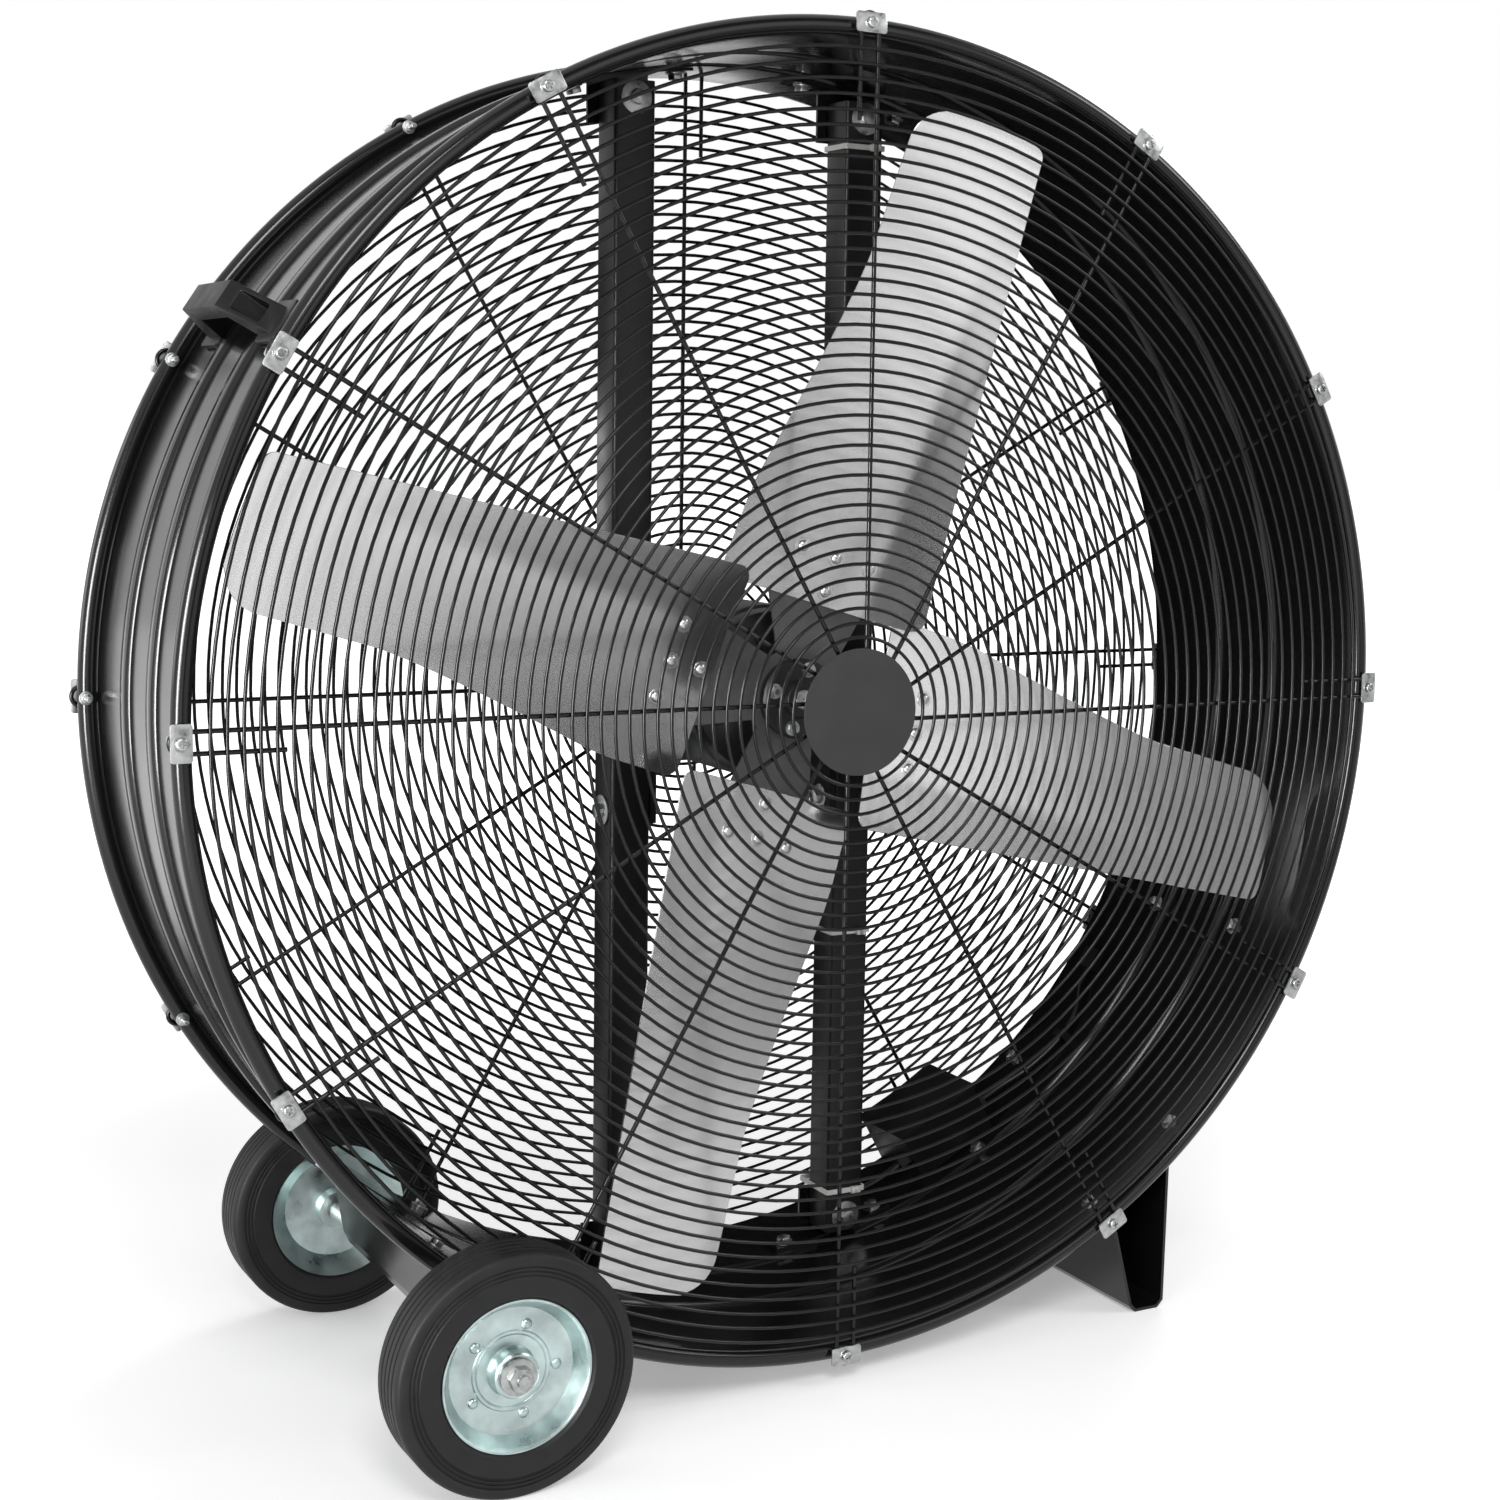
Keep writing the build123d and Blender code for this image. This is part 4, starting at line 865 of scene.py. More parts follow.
class DRUMFAN_OT_posts(bpy.types.Operator):
    """Stands the two square posts and fits their saddles, rails, bolts and large washers"""

    bl_idname = "drumfan.posts"
    bl_label = "Posts And Saddles"

    def execute(self, context):
        sizes = context.scene.drum_fan_sizes
        # The tube's ends are drawn in as a shallow hollow: the wall stays, the middle sinks.
        post_wall, end_sink = 2 * MM, 0.96
        for side in ("left", "right"):
            low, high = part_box(f"{side}_post")
            size, middle = high - low, (low + high) / 2
            tube = block(f"{side}_post_tube", size, middle, sizes.post_corner, 4)
            edit(tube)
            choose(tube, "faces", faces_up_or_down)
            bpy.ops.mesh.inset(thickness=post_wall)
            choose(tube, "faces", lambda face: faces_up_or_down(face) and len(face.verts) > 4)
            bpy.ops.transform.resize(value=(1, 1, end_sink), center_override=middle)
            bpy.ops.object.mode_set(mode="OBJECT")
            dress(smooth(tube), "post", "drum", "frame_steel", f"{side}_post")

        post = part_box("right_post")
        post_x, post_front, post_rear = (post[0].x + post[1].x) / 2, post[0].y, post[1].y
        bolt_heights = (75.5 * MM, 1150.5 * MM)
        places = [
            stand(Vector((x, post_front, z)), (0, -1, 0), (1, 0, 0.3))
            for x in (-post_x, post_x)
            for z in bolt_heights
        ]
        wide_bolt = {"flats": 13 * MM, "height": 6 * MM, "washer": 15 * MM, "washer_sheet": 2 * MM}
        bolt = hex_bolt("post_bolt", **wide_bolt)
        dress(repeat("post_bolt_heads", bolt, places), "zinc", "drum", "zinc_plate", "post_bolts")

        rail_low, rail_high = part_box("right_motor_rail")
        rail_height = (rail_low.z + rail_high.z) / 2
        middle_y = (post_front + post_rear) / 2
        mount_lift = 113 * MM
        head_places, nut_places = [], []
        for side in (-1, 1):
            for height in (rail_height - mount_lift, rail_height + mount_lift):
                outside = Vector((side * post[1].x, middle_y, height))
                head_places.append(stand(outside, (side, 0, 0), (0, 0.3, 1)))
                inside = Vector((side * rail_low.x, middle_y, height))
                nut_places.append(stand(inside, (-side, 0, 0), (0, 0.3, 1)))
        heads = repeat("motor_mount_heads", hex_bolt("mount_bolt", **wide_bolt), head_places)
        dress(heads, "zinc", "drum", "zinc_plate", "motor_mount_bolts")
        nut = hex_bolt("nut", flats=13 * MM, height=7 * MM, washer=12 * MM, washer_sheet=1 * MM)
        dress(repeat("motor_mount_nuts", nut, nut_places), "zinc", "drum", "zinc_plate")

        for side in ("left", "right"):
            for end in ("upper", "lower"):
                paint_node(f"{side}_{end}_saddle", "enamel", edge_mm=0.6)
            paint_node(f"{side}_motor_rail", "post", edge_mm=0.8)
        return {"FINISHED"}


class DRUMFAN_OT_wall_bolts(bpy.types.Operator):
    """Fits the bolts that go through the drum wall: saddles, stand and handles"""

    bl_idname = "drumfan.wall_bolts"
    bl_label = "Wall Bolts"

    def execute(self, context):
        sizes = context.scene.drum_fan_sizes
        wall = sizes.drum_radius
        inner = wall - sizes.drum_sheet
        # The saddles' bolts, two to a strap, their heads on the strap and nuts outside.
        strap, saddle_depth = 3.4 * MM, 72 * MM
        saddle_middles, bolt_step = (11.9, 168.1, 191.9, 348.1), 5.2
        clocks = [middle + step for middle in saddle_middles for step in (-bolt_step, bolt_step)]
        heads = [on_wall(clock, inner - strap, saddle_depth, -1) for clock in clocks]
        nuts = [on_wall(clock, wall, saddle_depth, 1) for clock in clocks]
        bolt = hex_bolt(
            "saddle_bolt", flats=13 * MM, height=5.5 * MM, washer=9 * MM, washer_sheet=1.2 * MM
        )
        piece = repeat("saddle_bolt_heads", bolt, heads + nuts)
        dress(piece, "zinc", "drum", "zinc_plate", "saddle_bolts")

        # Foot and bracket. One rear bolt stands nearer mid-depth, clear of the junction box.
        bracket_face, reach, reach_at_box = wall + 7.4 * MM, 140 * MM, 62 * MM
        stand_clocks, clock_at_box = (138.2, 149.8, 210.4, 221.0), 149.8
        heads, nuts = [], []
        for clock in stand_clocks:
            rear_reach = reach_at_box if clock == clock_at_box else reach
            for bolt_depth in (-reach, rear_reach):
                heads.append(on_wall(clock, inner, bolt_depth, -1))
                nuts.append(on_wall(clock, bracket_face, bolt_depth, 1))
        bolt = hex_bolt(
            "stand_bolt", flats=11 * MM, height=5 * MM, washer=8.5 * MM, washer_sheet=1 * MM
        )
        piece = repeat("stand_bolt_heads", bolt, heads + nuts)
        dress(piece, "zinc", "drum", "zinc_plate", "foot_and_bracket_bolts")

        pad_face, screw_reach = wall + 5.2 * MM, 66 * MM
        nuts, heads = [], []
        for clock in HANDLE_CLOCKS.values():
            for screw_depth in (-screw_reach, screw_reach):
                nuts.append(on_wall(clock, inner, screw_depth, -1))
                heads.append(on_wall(clock, pad_face, screw_depth, 1))
        nut = hex_bolt(
            "handle_nut", flats=11 * MM, height=6 * MM, washer=8.5 * MM, washer_sheet=1 * MM
        )
        piece = repeat("handle_screw_nuts", nut, nuts)
        dress(piece, "zinc", "drum", "zinc_plate", "handle_screws")
        screw = cross_screw("handle_screw", radius=6 * MM, height=4 * MM)
        dress(repeat("handle_screw_heads", screw, heads), "zinc", "drum", "zinc_plate")
        return {"FINISHED"}


class DRUMFAN_OT_motor(bpy.types.Operator):
    """Builds the closed motor: rolled body, lugs, end bells and terminal box"""

    bl_idname = "drumfan.motor"
    bl_label = "Motor"

    def execute(self, context):
        sizes = context.scene.drum_fan_sizes
        centre = Vector((0, 0, AXIS_HEIGHT))
        body = sizes.motor_radius
        low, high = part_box("motor_front_bell")
        front, seam = low.y, high.y
        rear_low, rear_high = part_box("motor_rear_bell")
        rear_seam, rear = rear_low.y, rear_high.y
        shell = [
            (seam, 0.0),
            (seam, body - 4 * MM),
            (seam + 1 * MM, body - 1 * MM),
            (seam + 3 * MM, body),
            (rear_seam - 3 * MM, body),
            (rear_seam - 1 * MM, body - 1 * MM),
            (rear_seam, body - 4 * MM),
            (rear_seam, 0.0),
        ]
        pieces = [turned("motor_body", shell, 96, centre, closed=False)]
        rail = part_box("right_motor_rail")[0].x
        # The lugs start inside the body and end on the rails.
        lug_start, lug_depth, lug_lift, lug_edge = body * 0.68, 62 * MM, 57 * MM, 1.5 * MM
        lug_size = (rail - lug_start, 30 * MM, 22 * MM)
        for side in (-1, 1):
            for lift in (-lug_lift, lug_lift):
                place = (side * (rail + lug_start) / 2, lug_depth, AXIS_HEIGHT + lift)
                pieces.append(rounded(block("lug", lug_size, place), lug_edge))
        body_piece = smooth(joined("motor_body", pieces))
        dress(body_piece, "motor", "drum", "motor_paint", "motor_housing")

        bell = body - 4 * MM
        face = [
            (seam, 0.0),
            (seam, bell),
            (seam - 6 * MM, bell + 1 * MM),
            (seam - 14 * MM, bell - 2 * MM),
            (front + 8 * MM, bell - 16 * MM),
            (front + 4 * MM, bell - 22 * MM),
            (front + 3 * MM, 34 * MM),
            (front, 30 * MM),
            (front, 20 * MM),
            (front + 1.5 * MM, 19 * MM),
            (front + 1.5 * MM, 0.0),
        ]
        front_bell = turned("motor_front_end", face, 96, centre, closed=False)
        rib_count, rib_size, rib_middle, rib_depth = 8, (5 * MM, 34 * MM, 12 * MM), 50 * MM, 12 * MM
        rib = rounded(block("rib", rib_size, (0, rib_middle, 4 * MM)), 1.2 * MM)
        rib_place, rib_step = Vector((0, front + rib_depth, AXIS_HEIGHT)), 360 / rib_count
        places = [
            stand(rib_place, (0, -1, 0), clockwise(rib_step * (number + 0.5)))
            for number in range(rib_count)
        ]
        front_bell = smooth(joined("motor_front_end", [front_bell, repeat("rib", rib, places)]))
        dress(front_bell, "casting", "drum", "motor_dark", "motor_front_bell")

        back = [
            (rear_seam, 0.0),
            (rear_seam, bell),
            (rear_seam + 4 * MM, bell + 1 * MM),
            (rear - 6 * MM, bell - 2 * MM),
            (rear - 1.5 * MM, bell - 6 * MM),
            (rear, bell - 11 * MM),
            (rear, 62 * MM),
            (rear - 1.5 * MM, 60 * MM),
            (rear - 1.5 * MM, 26 * MM),
            (rear, 24 * MM),
            (rear, 0.0),
        ]
        rear_bell = turned("motor_rear_end", back, 96, centre, closed=False)
        bar_count, bar_size, bar_middle = 24, (4 * MM, 33 * MM, 1.6 * MM), 43 * MM
        bar = rounded(block("bar", bar_size, (0, bar_middle, 0)), 0.5 * MM, 1)
        bar_place, bar_step = Vector((0, rear - 1.2 * MM, AXIS_HEIGHT)), 360 / bar_count
        places = [
            stand(bar_place, (0, 1, 0), clockwise(bar_step * number))
            for number in range(bar_count)
        ]
        rear_bell = smooth(joined("motor_rear_end", [rear_bell, repeat("bar", bar, places)]))
        dress(rear_bell, "casting", "drum", "motor_dark", "motor_rear_bell")
        paint_node("motor_terminal_box", "casting", edge_mm=2.0)
        return {"FINISHED"}


# The front face of a blade on three lines along it: at the leading side, on the fold and at the
# trailing side, as depths at the root and at the tip.
ROOT_DEPTHS = (-38.0 * MM, -61.5 * MM, -82.0 * MM)
TIP_DEPTHS = (-84.5 * MM, -110.5 * MM, -122.0 * MM)
SECTION_LINES = (-112.0 * MM, 42.0 * MM, 112.0 * MM)
BLADE_ROOT = 88.0 * MM
BLADE_TIP = 548.0 * MM
BLADE_ANGLES = [16.8 + 90 * number for number in range(4)]


def face_depth(span, side, round_off=0.0):
    """Depth of a blade's front face; round_off softens the fold over a distance each way."""
    share = (span - BLADE_ROOT) / (BLADE_TIP - BLADE_ROOT)
    lead, fold, trail = [root + share * (tip - root) for root, tip in zip(ROOT_DEPTHS, TIP_DEPTHS)]
    lead_slope = (fold - lead) / (SECTION_LINES[1] - SECTION_LINES[0])
    trail_slope = (trail - fold) / (SECTION_LINES[2] - SECTION_LINES[1])
    past = side - SECTION_LINES[1]
    if abs(past) < round_off:
        reach = past + round_off
        return fold + lead_slope * past + (trail_slope - lead_slope) * reach**2 / (4 * round_off)
    return fold + (trail_slope if past > 0 else lead_slope) * past


def blade_point(angle, span, side, lift=0.0):
    """A point on the front face of a blade, lifted from it towards the front."""
    depth = face_depth(span, side) - lift
    return spot(angle, span, depth) + clockwise(angle) * side


def lead_edge(span):
    """The leading edge's distance from the blade's middle line: it swells towards the root."""
    straight_from, swell_end, root_half, tip_half = 400 * MM, 172 * MM, 100 * MM, 60 * MM
    curve, last_rise, last_run = 1.25, 3 * MM, 84 * MM
    share = max(0.0, min(1.0, (straight_from - span) / (straight_from - swell_end)))
    swell = (root_half - last_rise - tip_half) * share**curve
    return tip_half + swell + last_rise * max(0, (swell_end - span) / last_run)


def blade_outline():
    """The blade's flat outline as (span, side) with its corners rounded."""
    corner, tip_corner, trail_corner = 13 * MM, 37 * MM, 10 * MM
    root_trail, tip_trail = 99 * MM, 66 * MM
    lead_tip = lead_edge(BLADE_TIP)
    root_lead = lead_edge(BLADE_ROOT)
    points = arc((BLADE_ROOT + corner, -root_lead + corner), corner, 180, 270, 6)[::-1]
    points += arc((BLADE_ROOT + corner, root_trail - corner), corner, 180, 90, 6)
    tip_span = sqrt(BLADE_TIP**2 - tip_trail**2)
    points += arc((tip_span - trail_corner, tip_trail - trail_corner), trail_corner, 86, 10, 5)
    # The tip is an arc round the axis; it ends short of both corners.
    start = math.degrees(math.atan2(tip_trail - 14 * MM, BLADE_TIP))
    end = -math.degrees(math.atan2(lead_tip - 30 * MM, BLADE_TIP))
    points += arc((0, 0), BLADE_TIP, start, end, 14)
    lead_corner_span = sqrt(BLADE_TIP**2 - (lead_tip - 12 * MM) ** 2) - tip_corner
    points += arc((lead_corner_span, -lead_tip + tip_corner), tip_corner, -22, -90, 8)
    edge_steps = 14
    for step in range(1, edge_steps + 1):
        span = lead_corner_span - (lead_corner_span - BLADE_ROOT - 3 * corner) * step / edge_steps
        points.append((span, -lead_edge(span)))
    return points


class DRUMFAN_OT_blades(bpy.types.Operator):
    """Cuts a blade from sheet, folds and twists it, and sets four of them round the hub"""

    bl_idname = "drumfan.blades"
    bl_label = "Blades"

    def execute(self, context):
        sizes = context.scene.drum_fan_sizes
        sheet = trace("blade", [Vector((span, side, 0)) for span, side in blade_outline()])
        bpy.ops.mesh.edge_face_add()
        # Cuts across and along let the sheet bend; beside the fold they stand close together.
        span_step, side_step, fold_step = 11.5 * MM, 12 * MM, 2 * MM
        span_cuts = [BLADE_ROOT + span_step * number for number in range(1, 40)]
        side_cuts = [side_step * number for number in range(-8, 9)]
        side_cuts += [SECTION_LINES[1] + fold_step * number for number in range(-5, 6)]
        for cuts, axis in ((span_cuts, Vector((1, 0, 0))), (side_cuts, Vector((0, 1, 0)))):
            for cut in cuts:
                bpy.ops.mesh.select_all(action="SELECT")
                bpy.ops.mesh.bisect(plane_co=axis * cut, plane_no=axis)
        bpy.ops.mesh.select_all(action="SELECT")
        bpy.ops.mesh.remove_doubles(threshold=0.2 * MM)
        bpy.ops.object.mode_set(mode="OBJECT")
        lines = sheet.data.uv_layers.new(name="UVMap")
        for loop in sheet.data.loops:
            place = sheet.data.vertices[loop.vertex_index].co
            lines.data[loop.index].uv = (place.x, place.y)
        fold_softness = 8 * MM
        for vertex in sheet.data.vertices:
            vertex.co.z = -face_depth(vertex.co.x, vertex.co.y, fold_softness)
        with_modifier(sheet, "SOLIDIFY", thickness=sizes.blade_sheet, offset=-1)
        edit(sheet)
        bpy.ops.mesh.normals_make_consistent(inside=False)
        bpy.ops.object.mode_set(mode="OBJECT")
        rounded(sheet, 0.5 * MM, limit=60)
        for number, angle in enumerate(BLADE_ANGLES, start=1):
            axes = Matrix((outward(angle), clockwise(angle), Vector((0, -1, 0)))).transposed()
            place = Matrix.Translation((0, 0, AXIS_HEIGHT)) @ axes.to_4x4()
            blade = twin(sheet, f"blade_sheet_{number}", place)
            tidy_mesh(blade)
            smooth(blade, 15)
            dress(blade, "blade", "rotor", "blade_aluminium", f"blade_{number}")
        bpy.data.objects.remove(sheet)
        return {"FINISHED"}


class DRUMFAN_OT_rotor_parts(bpy.types.Operator):
    """Fits the hub with its bolts, the shaft and the blades' rivets, and paints the spider"""

    bl_idname = "drumfan.rotor_parts"
    bl_label = "Hub And Rivets"

    def execute(self, context):
        centre = Vector((0, 0, AXIS_HEIGHT))
        low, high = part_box("hub")
        front, rear, outer = low.y, high.y, high.x
        plate = [
            (rear, 0.0),
            (rear, outer - 1 * MM),
            (rear - 1 * MM, outer),
            (front + 2 * MM, outer),
            (front, outer - 2 * MM),
            (front, 18 * MM),
            (front - 6 * MM, 16.5 * MM),
            (front - 7 * MM, 15.5 * MM),
            (front - 7 * MM, 0.0),
        ]
        hub = turned("hub_plate", plate, 72, centre, closed=False)
        dress(hub, "casting", "rotor", "hub_iron", "hub")
        low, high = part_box("motor_shaft")
        radius = high.x
        rod = [
            (high.y, 0.0),
            (high.y, radius),
            (low.y + 1.5 * MM, radius),
            (low.y, radius - 1.5 * MM),
            (low.y, 2 * MM),
            (low.y + 2 * MM, 0.0),
        ]
        shaft = turned("shaft", rod, 48, centre, closed=False)
        dress(shaft, "steel", "rotor", "bright_steel", "motor_shaft")
        bolt_circle, head_turn = 27.5 * MM, 20
        places = [
            stand(spot(angle, bolt_circle, front), (0, -1, 0), outward(angle + head_turn))
            for angle in BLADE_ANGLES
        ]
        bolt = hex_bolt(
            "hub_bolt", flats=9 * MM, height=5.5 * MM, washer=7 * MM, washer_sheet=1 * MM
        )
        dress(repeat("hub_bolt_heads", bolt, places), "zinc", "rotor", "bright_steel", "hub_bolts")

        # Each blade's rivets: distance from the axis and from the blade's middle line, in mm.
        rivet_places = ((135, -34), (133, 0), (133, 34), (101, 0))
        places = []
        for angle in BLADE_ANGLES:
            for span_mm, side_mm in rivet_places:
                span, side = span_mm * MM, side_mm * MM
                here = blade_point(angle, span, side)
                along = blade_point(angle, span + MM, side) - here
                across = blade_point(angle, span, side + MM) - here
                places.append(stand(here, across.cross(along), along))
        washer = rounded(drum("rivet_foot", radius=7.5 * MM, height=0.8 * MM), 0.3 * MM, 1)
        rivet = joined("rivet", [dome("rivet", radius=5.5 * MM, height=3.4 * MM), washer])
        rivets = repeat("blade_rivet_heads", smooth(rivet), places)
        dress(rivets, "steel", "rotor", "rivet_aluminium", "blade_rivets")
        paint_node("spider", "spider", edge_mm=1.2)
        return {"FINISHED"}


class DRUMFAN_OT_wheels(bpy.types.Operator):
    """Turns the two wheels: ribbed solid tyre, dished zinc rim with rivets, and axle ends"""

    bl_idname = "drumfan.wheels"
    bl_label = "Wheels"

    def execute(self, context):
        tyre_low, tyre_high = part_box("rear_tyre")
        inner, outer, tread = tyre_low.y, tyre_high.y, WHEEL_RADIUS
        rim = 63.6 * MM
        centre = AXLE.copy()
        wall = [(outer - 4 * MM, rim)]
        wall += [(outer - 0.5 * MM, rim + 3 * MM), (outer, rim + 8 * MM), (outer, tread - 19 * MM)]
        # Three fine grooves run round the sidewall.
        groove_count, first_groove, groove_step, groove_floor = 3, 18 * MM, 3.4 * MM, 1.2 * MM
        for step in range(groove_count):
            radius = tread - first_groove + groove_step * step
            wall += [(outer - groove_floor, radius), (outer - groove_floor, radius + 1 * MM)]
            wall += [(outer, radius + 1.4 * MM), (outer, radius + 2.6 * MM)]
        wall += arc((outer - 6 * MM, tread - 6 * MM), 6 * MM, 30, 90, 5)
        middle = (inner + outer) / 2
        tread_grooves, mouth, floor, deep = (12 * MM, 4 * MM), 1.4 * MM, 0.8 * MM, 2 * MM
        grooves = []
        for at in tread_grooves:
            grooves += [
                (middle + at + mouth, tread),
                (middle + at + floor, tread - deep),
                (middle + at - floor, tread - deep),
                (middle + at - mouth, tread),
            ]
        half = wall + grooves
        mirrored = [(2 * middle - depth, radius) for depth, radius in reversed(half)]
        face = outer - 3 * MM
        dish = face - 15 * MM
        bowl = [
            (face - 4 * MM, rim - 2.2 * MM),
            (face - 1 * MM, rim + 0.6 * MM),
            (face + 0.8 * MM, rim),
            (face + 1 * MM, rim - 1.6 * MM),
            (face - 0.6 * MM, rim - 3 * MM),
            (face - 3 * MM, rim - 4 * MM),
            (dish + 3.5 * MM, 54.5 * MM),
            (dish + 1 * MM, 53 * MM),
            (dish, 50 * MM),
            (dish, 34 * MM),
            (dish + 1.2 * MM, 33 * MM),
            (dish + 1.5 * MM, 31.8 * MM),
            (dish + 1.2 * MM, 30.6 * MM),
            (dish + 0.2 * MM, 29.5 * MM),
            (dish, 21 * MM),
            (dish + 2 * MM, 19.6 * MM),
            (outer - 5 * MM, 19 * MM),
            (outer - 4 * MM, 17.6 * MM),
            (outer - 4 * MM, 9 * MM),
        ]
        inside = [
            (inner + 4 * MM, 9 * MM),
            (inner + 4 * MM, 18 * MM),
            (inner + 16 * MM, 19 * MM),
            (inner + 18 * MM, 48 * MM),
            (inner + 8 * MM, rim - 5 * MM),
            (inner + 3 * MM, rim - 1 * MM),
            (inner + 2 * MM, rim + 0.4 * MM),
            (inner + 4 * MM, rim + 0.5 * MM),
        ]
        rivet_count, rivet_circle, first_rivet = 5, 39 * MM, 20
        for name, side in (("rear", 1), ("front", -1)):
            section = [(side * depth, radius) for depth, radius in half + mirrored]
            tyre = turned(f"{name}_tyre_rubber", section, 144, centre)
            dress(tyre, "tyre", f"{name}_wheel", "tyre_rubber", f"{name}_tyre")
            section = [(side * depth, radius) for depth, radius in bowl + inside]
            disc = turned(f"{name}_rim_disc", section, 120, centre)
            places = []
            for number in range(rivet_count):
                turn = radians(first_rivet + 360 / rivet_count * number)
                away = Vector((rivet_circle * sin(turn), side * dish, rivet_circle * cos(turn)))
                places.append(stand(centre + away, (0, side, 0), (1, 0, 0)))
            rivet = dome("rim_rivet", radius=4.5 * MM, height=2.6 * MM)
            heads = repeat(f"{name}_rim_rivets", rivet, places)
            disc = joined(f"{name}_rim_disc", [disc, heads])
            dress(smooth(disc), "rim", f"{name}_wheel", "rim_zinc", f"{name}_rim")
        ends = []
        for side in (-1, 1):
            place = centre + Vector((0, side * (outer - 4 * MM), 0))
            ends.append(stand(place, (0, side, 0), (1, 0, 0.4)))
        # From the rim outwards: a washer, the nut and the axle's stub, with their edges eased.
        parts = []
        for name, radius, height, sides, base, edge in (
            ("axle_washer", 15.5 * MM, 3 * MM, 48, 0.5 * MM, 0.8 * MM),
            ("axle_nut", 19 / sqrt(3) * MM, 8 * MM, 6, 3.5 * MM, 1 * MM),
            ("axle_stub", 5.5 * MM, 4.5 * MM, 24, 11.5 * MM, 1 * MM),
        ):
            parts.append(smooth(rounded(drum(name, radius, height, sides, base), edge)))
        end = joined("axle_end", parts)
        dress(repeat("axle_end_nuts", end, ends), "zinc", "drum", "bright_steel", "axle_bolts")
        paint_node("axle", "steel")
        return {"FINISHED"}


class DRUMFAN_OT_stand(bpy.types.Operator):
    """Enamels the folded wheel bracket and the folded foot and eases their edges"""

    bl_idname = "drumfan.stand"
    bl_label = "Bracket And Foot"

    def execute(self, context):
        for node in ("axle_bracket", "foot"):
            paint_node(node, "enamel", edge_mm=0.8)
        return {"FINISHED"}


class DRUMFAN_OT_handles(bpy.types.Operator):
    """Moulds the two bridge handles with their finger gap and the pocket in each slope"""

    bl_idname = "drumfan.handles"
    bl_label = "Handles"

    def execute(self, context):
        sizes = context.scene.drum_fan_sizes
        width, height, pad = 25 * MM, 44 * MM, 5 * MM
        grip, slope_foot, reach = 50 * MM, 89 * MM, 106 * MM
        gap_base, gap_top, gap_height = 56.5 * MM, 40 * MM, 28 * MM
        side = [
            (-slope_foot, pad),
            (-grip, height),
            (grip, height),
            (slope_foot, pad),
            (slope_foot, 0),
            (gap_base, 0),
            (gap_top, gap_height),
            (-gap_top, gap_height),
            (-gap_base, 0),
            (-slope_foot, 0),
        ]
        bridge = trace("handle", [Vector((-width / 2, along, up)) for along, up in side])
        bpy.ops.mesh.edge_face_add()
        bpy.ops.mesh.extrude_region_move(TRANSFORM_OT_translate={"value": Vector((width, 0, 0))})
        bpy.ops.object.mode_set(mode="OBJECT")
        tidy_mesh(bridge)
        pocket_middle, pocket = 69 * MM, (17 * MM, 21 * MM, height)
        for end in (-1, 1):
            place = (0, end * pocket_middle, pad + height / 2)
            cut_by(bridge, block("pocket", pocket, place, 2 * MM))
        rounded(bridge, 1.8 * MM, 3, limit=28)
        parts = [bridge]
        pad_size, pad_middle = (40 * MM, reach - gap_base, pad), (reach + gap_base) / 2
        pad_corner, pad_edge = 5 * MM, 1.2 * MM
        for end in (-1, 1):
            foot = block("pad", pad_size, (0, end * pad_middle, pad / 2), pad_corner)
            parts.append(rounded(foot, pad_edge))
        handle = smooth(joined("handle", parts))
        base = sizes.drum_radius + 0.2 * MM
        for name, clock in HANDLE_CLOCKS.items():
            place = stand(spot(clock, base), outward(clock), clockwise(clock))
            piece = twin(handle, name + "_moulding", place)
            dress(piece, "plastic", "drum", "black_plastic", name)
        bpy.data.objects.remove(handle)
        return {"FINISHED"}


# The routes' control points in millimetres, as the CAD cables have them.
MOTOR_ROUTE = (
    (209.8, 90.0, 100.8),
    (174.7, 90.0, 81.7),
    (147.5, 91.6, 82.5),
    (124.2, 92.4, 96.2),
    (112.0, 91.5, 119.7),
    (111.4, 89.0, 160.0),
    (112.6, 86.9, 215.0),
    (111.6, 86.5, 300.0),
    (112.8, 86.6, 385.0),
    (112.0, 86.8, 455.0),
    (110.0, 91.0, 500.0),
    (104.0, 101.0, 528.0),
    (99.0, 112.0, 554.0),
    (99.0, 112.0, 584.0),
)
SWITCH_ROUTE = (
    (317.2, 100.0, 154.5),
    (338.3, 100.0, 166.0),
    (368.7, 91.0, 182.9),
    (410.5, 86.0, 216.6),
    (433.3, 92.0, 244.2),
    (443.9, 106.0, 258.6),
    (453.0, 114.0, 268.9),
    (461.0, 114.0, 280.4),
)


